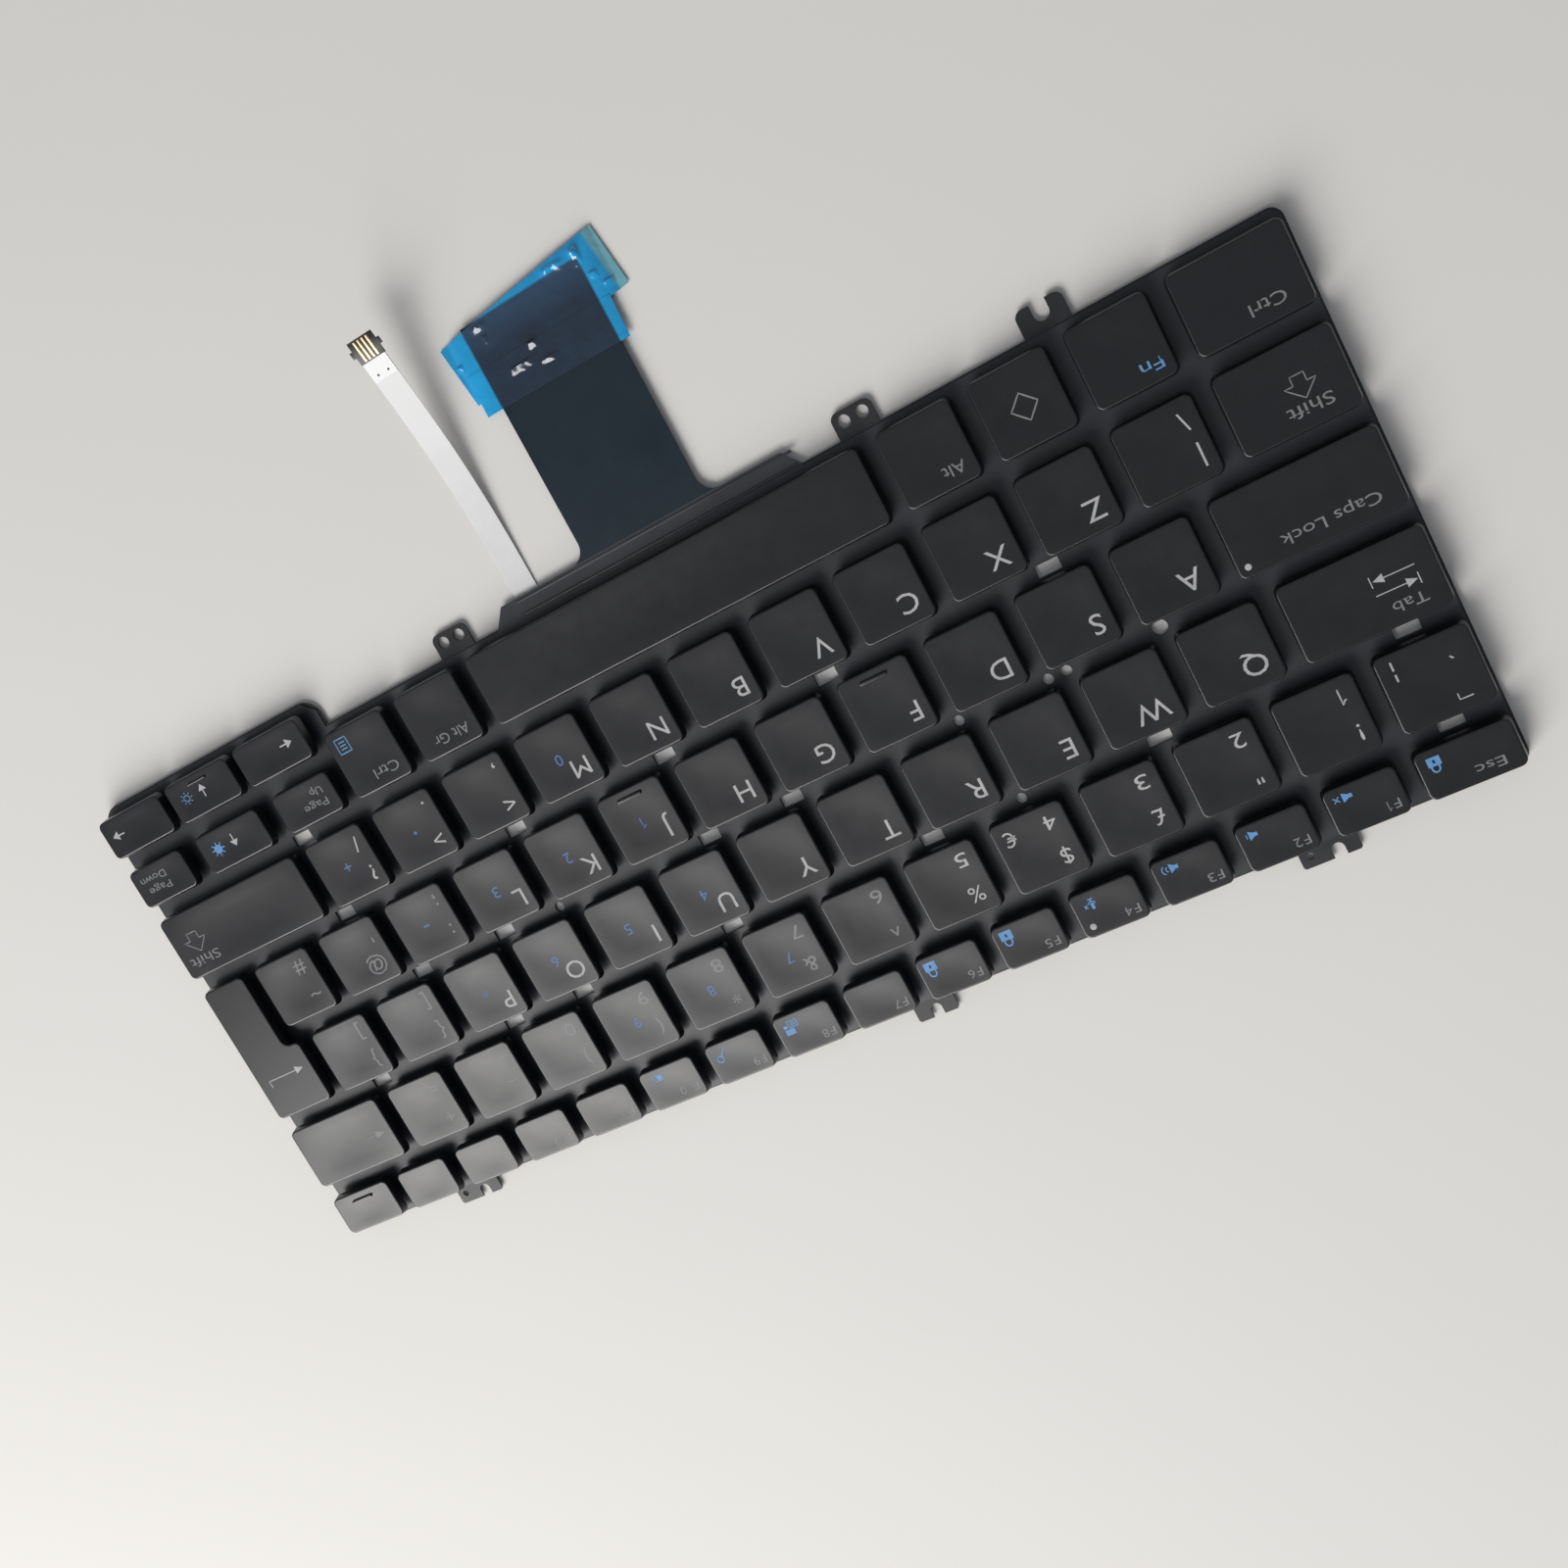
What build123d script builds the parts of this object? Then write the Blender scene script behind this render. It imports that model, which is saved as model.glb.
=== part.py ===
from build123d import *
from math import asin, atan, degrees, hypot, radians, tan
import os

# Key grid, in millimetres. Cap sizes are those of the top face.
key_pitch = 19.05
cap_gap = 3.85
edge_inset = 0.85
function_gap = 3.46
function_key_depth = 9.35
cursor_drop = 6.65
cursor_gap = 2.35
page_key_trim = 2.6
full_rows = 5
number_keys = 12
function_keys = 14
top_names = ["q", "w", "e", "r", "t", "y", "u", "i", "o", "p", "left_bracket", "right_bracket"]
home_names = ["a", "s", "d", "f", "g", "h", "j", "k", "l", "semicolon", "apostrophe", "hash"]
shift_names = ["backslash", "z", "x", "c", "v", "b", "n", "m", "comma", "period", "slash"]

# Slots of the keys at the left-hand and right-hand ends of the rows.
escape_slot = 20.05
delete_slot = 18.5
grave_slot = 19.6
tab_slot = 29.2
caps_slot = 33.2
left_shift_slot = 23.8
left_ctrl_slot = 23.5
enter_slot = 18.4
space_slot = 95.9

# Caps.
cap_height = 2.0
cap_draft = 0.35
cap_wall = 0.9
cap_roof = 0.9
cap_corner_cut = 0.8
key_travel = 1.6
travel_clearance = 0.35

# Layers under the caps, from the table up.
panel_thickness = 0.45
plate_thickness = 0.5
membrane_thickness = 0.3

# Edges of the layers.
side_margin = 0.95
back_margin = 0.95
front_margin = 2.1
plate_corner_radius = 2.4
cursor_corner_share = 0.68
corner_cut_share = 0.6
membrane_inset = 0.4
panel_inset = 1.5

# Slots punched between the rows.
slot_length = 4.8
slot_width = 2.4

# Fixing tabs. Insets run from the plate's left-hand or right-hand edge to the tab's middle.
tab_corner_radius = 1.6
back_tab_length = 3.7
back_tab_corner_cut = 0.4
back_tab_width = 11.4
middle_tab_width = 9.1
back_notch_width = 2.5
back_notch_depth = 2.8
back_hole_radius = 0.7
back_hole_reach = 1.5
back_notch_offset = 1.5
back_hole_offset = 3.7
front_tab_length = 5.1
front_notch_tab_width = 9.2
front_notch_width = 3.1
front_notch_depth = 3.6
hole_tab_width = 8.5
tab_hole_spacing = 3.9
tab_hole_radius = 1.25
tab_hole_reach = 3.0
back_tab_left_inset = 38.4
back_tab_middle_inset = 122.0
back_tab_right_inset = 35.0
front_notch_tab_inset = 42.6
hole_tab_left_inset = 81.1
hole_tab_right_inset = 99.65

# Front lip and tail of the membrane. Offsets run to the left of the middle.
lip_width = 72.5
lip_offset = 8.25
lip_depth = 3.7
lip_slope = 3.0
tail_offset = 10.5
tail_width = 27.9
tail_length = 50.6
tail_root_radius = 3.6

# Protective tape over the tail's contacts.
tape_thickness = 0.06
tape_length = 39.5
tape_width = 14.6
tape_turn = -7.3
tape_end_overlap = 2.4
strip_length = 34.3
strip_width = 8.5
strip_reach = 17.9
strip_turn = 1.2

# Backlight cable, a flat ribbon that springs up towards its free end.
cable_x = 18.8
cable_width = 5.6
cable_thickness = 0.2
cable_seat_z = 0.12
cable_end_length = 4.8
cable_end_width = 5.9
cable_end_thickness = 0.3
cable_ear_width = 7.2
cable_ear_length = 1.4
bend_share = 0.45

# Scissor links and rubber domes. A half-height key has plain links, side by side.
scissor_width = 10.2
scissor_reach = 10.0
scissor_rail = 0.7
scissor_thickness = 0.7
scissor_clearance = 0.3
half_link_width = 2.0
dome_base_width = 4.8
dome_top_width = 2.6
seat_clearance = 0.05

# Stabiliser wire of the space bar.
wire_diameter = 0.8
wire_sides = 6
wire_end_inset = 6.0
wire_arm_drop = 4.6
wire_back_reach = 5.6

# Two places closer than this are the same.
touch = 0.001

# Heights.
plate_z = panel_thickness
membrane_z = plate_z + plate_thickness
deck_z = membrane_z + membrane_thickness
skirt_z = deck_z + travel_clearance + key_travel
roof_z = skirt_z + cap_height - cap_roof
draft_angle = degrees(atan(cap_draft / cap_height))

# Field of keys, centred left to right.
cap_size = key_pitch - cap_gap
half_key_depth = (cap_size + cursor_drop - cap_gap) / 2
field_width = tab_slot + len(top_names) * key_pitch + enter_slot
field_left = -field_width / 2
field_right = field_width / 2
cap_left = field_left + edge_inset
cap_right = field_right - edge_inset

# Plate, centred front to back on its main body.
plate_width = cap_right - cap_left + 2 * side_margin
rows_depth = cap_size + (full_rows - 1) * key_pitch + cap_gap + function_key_depth
plate_depth = front_margin + rows_depth + back_margin
plate_front = -plate_depth / 2
plate_back = plate_depth / 2

# Places of the tabs, the lip and the tail along the plate.
back_tab_left_x = back_tab_left_inset - plate_width / 2
back_tab_middle_x = back_tab_middle_inset - plate_width / 2
back_tab_right_x = plate_width / 2 - back_tab_right_inset
front_notch_tab_x = front_notch_tab_inset - plate_width / 2
hole_tab_left_x = hole_tab_left_inset - plate_width / 2
hole_tab_right_x = plate_width / 2 - hole_tab_right_inset
lip_left_x = -lip_offset - lip_width / 2
lip_right_x = lip_width / 2 - lip_offset
tail_x = -tail_offset

# Row centres, from the front.
bottom_row_y = plate_front + front_margin + cap_size / 2
shift_row_y = bottom_row_y + key_pitch
home_row_y = shift_row_y + key_pitch
top_row_y = home_row_y + key_pitch
number_row_y = top_row_y + key_pitch
function_row_y = number_row_y + cap_size / 2 + cap_gap + function_key_depth / 2
cursor_back_y = bottom_row_y + cap_size / 2 - half_key_depth / 2
cursor_front_y = cursor_back_y - half_key_depth - cap_gap
cursor_plate_front = plate_front - cursor_drop
cursor_corner_radius = cursor_corner_share * cursor_drop

# Places along the rows.
function_pitch = (field_width - escape_slot - delete_slot) / function_keys
space_left = field_left + left_ctrl_slot + 3 * key_pitch
space_right = space_left + space_slot
cursor_left = space_right + 2 * key_pitch
cursor_cap_left = cursor_left + cap_gap / 2
cursor_cap_width = (cap_right - cursor_cap_left - 2 * cursor_gap) / 3
page_key_width = cursor_cap_width - page_key_trim
arrow_down_left = cursor_cap_left + cursor_cap_width + cursor_gap
arrow_right_left = arrow_down_left + cursor_cap_width + cursor_gap

# Punched slots, by the row that their strip lies in front of and their place along it, in key
# pitches from the middle.
strip_y = {
    "function": (function_row_y - function_key_depth / 2) - cap_gap / 2,
    "number": number_row_y - key_pitch / 2,
    "top": top_row_y - key_pitch / 2,
    "home": home_row_y - key_pitch / 2,
    "shift": shift_row_y - key_pitch / 2,
}
slot_pitches = {
    "function": [-6.735],
    "number": [-6.73, -4.25, -1.71, 0.77, 2.79, 3.775, 5.79],
    "top": [-0.55, 0.49, 3.285, 4.495],
    "home": [-4.025, -1.515, 0.495, 2.495, 5.0],
    "shift": [4.97],
}
slot_places = [
    (pitches * key_pitch, strip_y[strip]) for strip, row in slot_pitches.items() for pitches in row
]


def key_cap(left, right, y, depth):
    """A rectangular cap, by the side edges of its top face, its centre line and its depth."""
    seat = Plane(((left + right) / 2, y, skirt_z))
    width = right - left + 2 * cap_draft
    length = depth + 2 * cap_draft
    with BuildPart(seat) as cap:
        with BuildSketch(seat) as outline:
            Rectangle(width, length)
            chamfer(outline.vertices(), cap_corner_cut)
        extrude(amount=cap_height, taper=draft_angle)
        with BuildSketch(seat):
            Rectangle(width - 2 * cap_wall, length - 2 * cap_wall)
        extrude(amount=cap_height - cap_roof, mode=Mode.SUBTRACT)
    return cap.part


def enter_outline(left, inner_left, right, front, step, back):
    """Points of the tall cap's outline, counter-clockwise from the step."""
    return [
        (left, step),
        (inner_left, step),
        (inner_left, front),
        (right, front),
        (right, back),
        (left, back),
    ]


def enter_cap(upper_left, lower_left):
    """The tall cap over two rows, wider in its upper row."""
    seat = Plane.XY.offset(skirt_z)
    right = cap_right + cap_draft
    back = top_row_y + cap_size / 2 + cap_draft
    step = top_row_y - cap_size / 2 - cap_draft
    front = home_row_y - cap_size / 2 - cap_draft
    left = upper_left - cap_draft
    inner_left = lower_left - cap_draft
    skirt = enter_outline(left, inner_left, right, front, step, back)
    pocket = enter_outline(
        left + cap_wall, inner_left + cap_wall, right - cap_wall,
        front + cap_wall, step + cap_wall, back - cap_wall,
    )
    with BuildPart(seat) as cap:
        with BuildSketch(seat) as outline:
            with BuildLine():
                Polyline(*skirt, close=True)
            make_face()
            chamfer(outline.vertices(), cap_corner_cut)
        extrude(amount=cap_height, taper=draft_angle)
        with BuildSketch(seat):
            with BuildLine():
                Polyline(*pocket, close=True)
            make_face()
        extrude(amount=cap_height - cap_roof, mode=Mode.SUBTRACT)
    return cap.part


def write(part, name):
    """Label one piece, or one group of like pieces, and write it."""
    part.label = name
    export_step(part, f"parts/{name}.step")


def row_of_caps(start, pitch, gap, count, y, depth):
    """Edges of a run of equal caps, each as left, right, centre line and depth."""
    return [
        (start + pitch * i + gap / 2, start + pitch * (i + 1) - gap / 2, y, depth)
        for i in range(count)
    ]


def letter_row(start, y, count):
    """Edges of a run of full-size caps."""
    return row_of_caps(start, key_pitch, cap_gap, count, y, cap_size)


def end_cap_left(slot, y):
    """Edges of the cap at the left-hand end of a row."""
    return (cap_left, field_left + slot - cap_gap / 2, y, cap_size)


def end_cap_right(start, y):
    """Edges of the cap at the right-hand end of a row."""
    return (start + cap_gap / 2, cap_right, y, cap_size)


# Edges of every cap, row by row.
number_run = letter_row(field_left + grave_slot, number_row_y, number_keys)
top_run = letter_row(field_left + tab_slot, top_row_y, len(top_names))
home_run = letter_row(field_left + caps_slot, home_row_y, len(home_names))
shift_run = letter_row(field_left + left_shift_slot, shift_row_y, len(shift_names))
bottom_left_run = letter_row(field_left + left_ctrl_slot, bottom_row_y, 3)
bottom_right_run = letter_row(space_right, bottom_row_y, 2)
function_run = row_of_caps(
    field_left + escape_slot, function_pitch, function_gap, function_keys,
    function_row_y, function_key_depth,
)

backspace_left = field_left + grave_slot + number_keys * key_pitch
right_shift_left = field_left + left_shift_slot + len(shift_names) * key_pitch
moving_caps = {"key_backspace": end_cap_right(backspace_left, number_row_y)}
moving_caps["key_tab"] = end_cap_left(tab_slot, top_row_y)
moving_caps.update({f"key_{name}": edges for name, edges in zip(top_names, top_run)})
moving_caps["key_caps_lock"] = end_cap_left(caps_slot, home_row_y)
moving_caps.update({f"key_{name}": edges for name, edges in zip(home_names, home_run)})
moving_caps["key_left_shift"] = end_cap_left(left_shift_slot, shift_row_y)
moving_caps.update({f"key_{name}": edges for name, edges in zip(shift_names, shift_run)})
moving_caps["key_right_shift"] = end_cap_right(right_shift_left, shift_row_y)
moving_caps["key_left_ctrl"] = end_cap_left(left_ctrl_slot, bottom_row_y)
moving_caps["key_fn"] = bottom_left_run[0]
moving_caps["key_super"] = bottom_left_run[1]
moving_caps["key_left_alt"] = bottom_left_run[2]
moving_caps["key_space"] = (
    space_left + cap_gap / 2, space_right - cap_gap / 2, bottom_row_y, cap_size
)
moving_caps["key_alt_gr"] = bottom_right_run[0]
moving_caps["key_right_ctrl"] = bottom_right_run[1]

escape_cap = (
    cap_left, field_left + escape_slot - function_gap / 2, function_row_y, function_key_depth
)
delete_cap = (
    field_right - delete_slot + function_gap / 2, cap_right, function_row_y, function_key_depth
)
function_caps = [escape_cap] + function_run + [delete_cap]
number_caps = [end_cap_left(grave_slot, number_row_y)] + number_run
cursor_caps = [
    (cursor_cap_left, cursor_cap_left + page_key_width, cursor_back_y, half_key_depth),
    (arrow_down_left, arrow_down_left + cursor_cap_width, cursor_back_y, half_key_depth),
    (cap_right - page_key_width, cap_right, cursor_back_y, half_key_depth),
    (cursor_cap_left, cursor_cap_left + cursor_cap_width, cursor_front_y, half_key_depth),
    (arrow_down_left, arrow_down_left + cursor_cap_width, cursor_front_y, half_key_depth),
    (arrow_right_left, cap_right, cursor_front_y, half_key_depth),
]

# Tall cap at the right, over the two middle rows.
enter_upper_left = field_right - enter_slot + cap_gap / 2
enter_lower_left = field_left + caps_slot + len(home_names) * key_pitch + cap_gap / 2


def group(parts):
    """Like pieces of one node, kept as separate solids."""
    return Compound(children=parts)


def base_outline(inset, corner=chamfer, share=corner_cut_share):
    """Outline of a layer: the main field and the deeper part under the cursor keys."""
    drop_left = cursor_left - cap_gap / 2 + inset
    drop_right = plate_width / 2 - inset
    drop_front = cursor_plate_front + inset
    with BuildSketch() as outline:
        Rectangle(plate_width - 2 * inset, plate_depth - 2 * inset)
        with Locations(((drop_left + drop_right) / 2, (drop_front + bottom_row_y) / 2)):
            Rectangle(drop_right - drop_left, bottom_row_y - drop_front)
        corners = outline.vertices().sort_by(Axis.X)
        corner(corners[:2] + corners.sort_by(Axis.Y)[-1:], share * plate_corner_radius)
        corner(outline.vertices().sort_by(Axis.Y)[:2], share * cursor_corner_radius)
    return outline.sketch


def notched_tab(width, length, corner, size, notch_x, notch_width, notch_depth):
    """A tab that points to +Y from the origin, with a round-ended notch in its free edge."""
    with BuildSketch() as tab:
        with Locations((0, length / 2)):
            Rectangle(width, length)
        corner(tab.vertices().group_by(Axis.Y)[-1], size)
        round_y = length - notch_depth + notch_width / 2
        with Locations((notch_x, round_y)):
            Circle(notch_width / 2, mode=Mode.SUBTRACT)
        with Locations((notch_x, (round_y + length) / 2)):
            Rectangle(notch_width, length - round_y, mode=Mode.SUBTRACT)
    return tab.sketch


def two_hole_tab():
    """A tab that points to +Y from the origin, with two fixing holes side by side."""
    with BuildSketch() as tab:
        with Locations((0, front_tab_length / 2)):
            Rectangle(hole_tab_width, front_tab_length)
        fillet(tab.vertices().group_by(Axis.Y)[-1], tab_corner_radius)
        with Locations((0, tab_hole_reach)):
            with GridLocations(tab_hole_spacing, 0, 2, 1):
                Circle(tab_hole_radius, mode=Mode.SUBTRACT)
    return tab.sketch


os.makedirs("parts", exist_ok=True)

# Keys that press one by one.
for cap_name, edges in moving_caps.items():
    write(key_cap(*edges), cap_name)
write(enter_cap(enter_upper_left, enter_lower_left), "key_enter")

# Rows of keys that share a node.
write(group([key_cap(*edges) for edges in function_caps]), "function_row_keys")
write(group([key_cap(*edges) for edges in number_caps]), "number_row_keys")
write(group([key_cap(*edges) for edges in cursor_caps]), "cursor_keys")

# Backlight panel under the plate.
with BuildPart() as backlight_panel:
    with BuildSketch():
        add(base_outline(panel_inset))
    extrude(amount=panel_thickness)
write(backlight_panel.part, "backlight_panel")

# Support plate with its fixing tabs.
long_back_tab = notched_tab(
    back_tab_width, back_tab_length, chamfer, back_tab_corner_cut,
    -back_notch_offset, back_notch_width, back_notch_depth,
)
short_back_tab = notched_tab(
    middle_tab_width, back_tab_length, chamfer, back_tab_corner_cut,
    0, back_notch_width, back_notch_depth,
)
front_notch_tab = notched_tab(
    front_notch_tab_width, front_tab_length, fillet, tab_corner_radius,
    0, front_notch_width, front_notch_depth,
)
with BuildPart() as support_plate:
    with BuildSketch(Plane.XY.offset(plate_z)):
        add(base_outline(0, fillet, 1))
        with Locations((back_tab_left_x, plate_back), (back_tab_right_x, plate_back)):
            add(long_back_tab)
        with Locations((back_tab_middle_x, plate_back)):
            add(short_back_tab)
        with Locations((front_notch_tab_x, plate_front)):
            add(front_notch_tab, rotation=180)
        with Locations((hole_tab_left_x, plate_front), (hole_tab_right_x, plate_front)):
            add(two_hole_tab(), rotation=180)
        with Locations(
            (back_tab_left_x + back_hole_offset, plate_back + back_hole_reach),
            (back_tab_right_x + back_hole_offset, plate_back + back_hole_reach),
        ):
            Circle(back_hole_radius, mode=Mode.SUBTRACT)
        with Locations(*slot_places):
            Rectangle(slot_length, slot_width, mode=Mode.SUBTRACT)
    extrude(amount=plate_thickness)
write(support_plate.part, "support_plate")

# Membrane with its front lip and its contact tail.
lip_back = plate_front + membrane_inset + plate_corner_radius
lip_front = plate_front - lip_depth
tail_end = lip_front - tail_length
with BuildPart() as membrane:
    with BuildSketch(Plane.XY.offset(membrane_z)) as film:
        add(base_outline(membrane_inset))
        with BuildLine():
            Polyline(
                (lip_left_x, lip_back),
                (lip_right_x, lip_back),
                (lip_right_x, plate_front),
                (lip_right_x - lip_slope, lip_front),
                (lip_left_x + lip_slope, lip_front),
                (lip_left_x, plate_front),
                close=True,
            )
        make_face()
        with Locations((tail_x, (lip_front + tail_end) / 2)):
            Rectangle(tail_width, tail_length)
        tail_roots = film.vertices().filter_by_position(Axis.Y, lip_front - touch, lip_front + touch)
        fillet(tail_roots.sort_by(Axis.X)[1:-1], tail_root_radius)
        with Locations(*slot_places):
            Rectangle(slot_length, slot_width, mode=Mode.SUBTRACT)
    extrude(amount=membrane_thickness)
write(membrane.part, "membrane")

# Two overlapping lengths of tape over the end of the tail.
tape_y = tail_end - tape_end_overlap + tape_width / 2
strip_middle_y = tail_end + strip_reach - strip_width / 2
with BuildPart() as tail_tape:
    with BuildSketch(Plane.XY.offset(deck_z)):
        with Locations((tail_x, tape_y)):
            Rectangle(tape_length, tape_width, rotation=-tape_turn)
        with Locations((tail_x, strip_middle_y)):
            Rectangle(strip_length, strip_width, rotation=-strip_turn)
    extrude(amount=tape_thickness)
write(tail_tape.part, "tail_tape")

# Backlight cable: its route in the plane of its own length, from the panel to its end piece.
panel_front = plate_front + panel_inset
cable_route = [
    (panel_front, cable_seat_z + cable_thickness / 2),
    (-66.0, cable_seat_z + cable_thickness / 2),
    (-82.0, 1.55),
    (-97.0, 4.6),
    (-110.0, 8.6),
]


def route_radii(points):
    """As large an arc at each corner as its two runs allow."""
    radii = []
    for before, corner, after in zip(points, points[1:], points[2:]):
        arriving = Vector(*corner) - Vector(*before)
        leaving = Vector(*after) - Vector(*corner)
        turn = radians(arriving.get_angle(leaving))
        radii.append(bend_share * min(arriving.length, leaving.length) / tan(turn / 2))
    return radii


print("cable radii", [round(radius, 1) for radius in route_radii(cable_route)])
route_plane = Plane((cable_x, 0, 0), x_dir=(0, 1, 0), z_dir=(1, 0, 0))
with BuildPart() as backlight_cable:
    with BuildLine(route_plane) as route:
        FilletPolyline(*cable_route, radius=route_radii(cable_route))
    with BuildSketch(Plane(route.line @ 0, x_dir=(1, 0, 0), z_dir=route.line % 0)):
        Rectangle(cable_width, cable_thickness)
    sweep(path=route.line)
write(backlight_cable.part, "backlight_cable")

# End piece of the cable, in line with its last run.
end_plane = Plane(route.line @ 1, x_dir=(1, 0, 0), z_dir=route.line % 1)
with BuildPart() as cable_end:
    with BuildSketch(end_plane):
        Rectangle(cable_end_width, cable_end_thickness)
    extrude(amount=cable_end_length)
    with BuildSketch(end_plane.offset((cable_end_length - cable_ear_length) / 2)):
        Rectangle(cable_ear_width, cable_end_thickness)
    extrude(amount=cable_ear_length)
write(cable_end.part, "cable_end")

# One scissor and one dome under the middle of every cap.
full_caps = [*moving_caps.values(), *number_caps]
half_caps = [*function_caps, *cursor_caps]
enter_centre = ((enter_lower_left + cap_right) / 2, (top_row_y + home_row_y) / 2)
full_places = [((left + right) / 2, y) for left, right, y, _ in full_caps] + [enter_centre]
half_places = [((left + right) / 2, y) for left, right, y, _ in half_caps]
seat_height = roof_z - deck_z - seat_clearance
dome_taper = degrees(atan((dome_base_width - dome_top_width) / (2 * seat_height)))
half_pocket = min(function_key_depth, half_key_depth) + 2 * cap_draft - 2 * cap_wall
half_reach = half_pocket - 2 * scissor_clearance


def link_plane(place, reach, side):
    """Middle plane of one link, hinged low at one end and high at the other."""
    diagonal = hypot(reach, scissor_thickness)
    tilt = degrees(asin(seat_height / diagonal) - atan(scissor_thickness / reach))
    return Plane((*place, deck_z + seat_height / 2)).rotated((side * tilt, 0, 0))


def forked_link(place, width, side):
    """One link of a full-size key: two arms and the bar that joins them under the cap."""
    middle = link_plane(place, scissor_reach, side)
    with BuildPart(middle) as link:
        with BuildSketch(middle):
            Rectangle(width, scissor_reach)
            with Locations((0, -side * scissor_rail)):
                Rectangle(width - 2 * scissor_rail, scissor_reach, mode=Mode.SUBTRACT)
        extrude(amount=scissor_thickness / 2, both=True)
    return link.part


def plain_link(place, side):
    """One link of a half-height key, on its own side of the dome."""
    middle = link_plane(place, half_reach, side)
    with BuildPart(middle) as link:
        with BuildSketch(middle):
            with Locations((side * (scissor_width - half_link_width) / 2, 0)):
                Rectangle(half_link_width, half_reach)
        extrude(amount=scissor_thickness / 2, both=True)
    return link.part


inner_width = scissor_width - 2 * scissor_rail - 2 * scissor_clearance
links = []
for place in full_places:
    links.append(forked_link(place, scissor_width, 1))
    links.append(forked_link(place, inner_width, -1))
for place in half_places:
    links.append(plain_link(place, 1))
    links.append(plain_link(place, -1))
write(group(links), "scissor_links")


def dome(place):
    """One rubber dome between the membrane and the cap's roof."""
    foot = Plane((*place, deck_z))
    with BuildPart(foot) as bell:
        with BuildSketch(foot):
            Rectangle(dome_base_width, dome_base_width)
        extrude(amount=seat_height, taper=dome_taper)
    return bell.part


write(group([dome(place) for place in full_places + half_places]), "rubber_domes")

# Steel wire that keeps the space bar level.
wire_z = roof_z - seat_clearance - wire_diameter / 2
wire_left = space_left + cap_gap / 2 + wire_end_inset
wire_right = space_right - cap_gap / 2 - wire_end_inset
wire_back = bottom_row_y + wire_back_reach
with BuildPart() as space_stabiliser:
    with BuildLine(Plane.XY.offset(wire_z)) as bail:
        Polyline(
            (wire_left, wire_back - wire_arm_drop),
            (wire_left, wire_back),
            (wire_right, wire_back),
            (wire_right, wire_back - wire_arm_drop),
        )
    with BuildSketch(Plane(bail.line @ 0, z_dir=bail.line % 0)):
        RegularPolygon(wire_diameter / 2, wire_sides)
    sweep(path=bail.line, transition=Transition.RIGHT)
write(space_stabiliser.part, "space_stabiliser")
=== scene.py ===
import math

import bmesh
import bpy
from mathutils import Matrix, Vector, noise
from mathutils.bvhtree import BVHTree


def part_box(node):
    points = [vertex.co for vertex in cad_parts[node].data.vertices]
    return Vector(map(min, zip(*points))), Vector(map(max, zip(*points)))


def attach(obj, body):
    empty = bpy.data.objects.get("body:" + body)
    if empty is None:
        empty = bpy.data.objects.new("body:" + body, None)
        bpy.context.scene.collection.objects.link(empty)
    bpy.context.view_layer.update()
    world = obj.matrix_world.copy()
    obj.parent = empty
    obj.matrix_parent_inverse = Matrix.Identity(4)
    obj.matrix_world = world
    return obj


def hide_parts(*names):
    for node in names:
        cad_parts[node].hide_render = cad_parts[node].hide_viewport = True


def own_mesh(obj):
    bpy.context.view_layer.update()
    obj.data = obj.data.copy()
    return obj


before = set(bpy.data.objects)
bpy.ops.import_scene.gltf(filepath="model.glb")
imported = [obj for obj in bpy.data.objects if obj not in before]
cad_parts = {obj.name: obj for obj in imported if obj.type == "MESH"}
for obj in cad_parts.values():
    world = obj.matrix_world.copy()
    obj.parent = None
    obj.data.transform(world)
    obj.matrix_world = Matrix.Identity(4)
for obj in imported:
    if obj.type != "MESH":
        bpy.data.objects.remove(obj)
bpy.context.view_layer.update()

bl_info = {
    "name": "Laptop Keyboard Dressing",
    "version": (1, 0, 0),
    "blender": (4, 5, 0),
    "location": "View3D > Sidebar > Keyboard",
    "description": "Caps, legends, films, tape and ribbon cable of a bare laptop keyboard",
    "category": "Object",
}

MM = 0.001
DECK_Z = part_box("membrane")[1].z

# Share of a text's size that its capitals are tall, and how much wider than the font the print is.
CAPITAL_SHARE = 0.729
PRINT_STRETCH = 1.1

# Depth of a cap that has the full dish, and the size of the cells that the dish is modelled in, in
# millimetres.
FULL_CAP = 15.1
DISH_CELL = 2.4

# Sides and end of the contact tail, in metres.
TAIL_LEFT, TAIL_RIGHT, TAIL_END = -0.02445, 0.00345, -0.1073

# Middle and turn of the outer tape and of the inner strip, and where the outer tape's single-layer
# fringe starts, along its own length. In metres and radians.
OUTER_PLACE, OUTER_TURN = (-0.01063, -0.10223, 0), math.radians(7.3)
STRIP_PLACE, STRIP_TURN = (-0.0097, -0.094475, 0), math.radians(-1.2)
FRINGE_START = -0.0411

# How far the outer tape and the inner strip lie above the tail, and how far past its edges they take to
# sink to the floor, in metres.
OUTER_GAP, STRIP_GAP, SINK_REACH = 0.00002, 0.00012, 0.0045

# Share of a ridge's height below which the tape stays flat.
RIDGE_FROM = 0.72

# How far a small piece is let into what carries it, in metres.
LET_IN = 0.00002

# Number of contacts on the ribbon's end piece.
CONTACTS = 4

# How near a point counts as lying on a level, in millimetres.
NEAR = 1e-4

# The photo's camera: lens in millimetres on a sensor 36 mm wide, place in metres, turn in degrees.
CAMERA_SENSOR, CAMERA_LENS = 36.0, 37.0836
CAMERA_PLACE = (-0.122609, -0.051346, 0.300722)
CAMERA_TURN = (-17.8879, 13.6901, 150.903)

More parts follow.
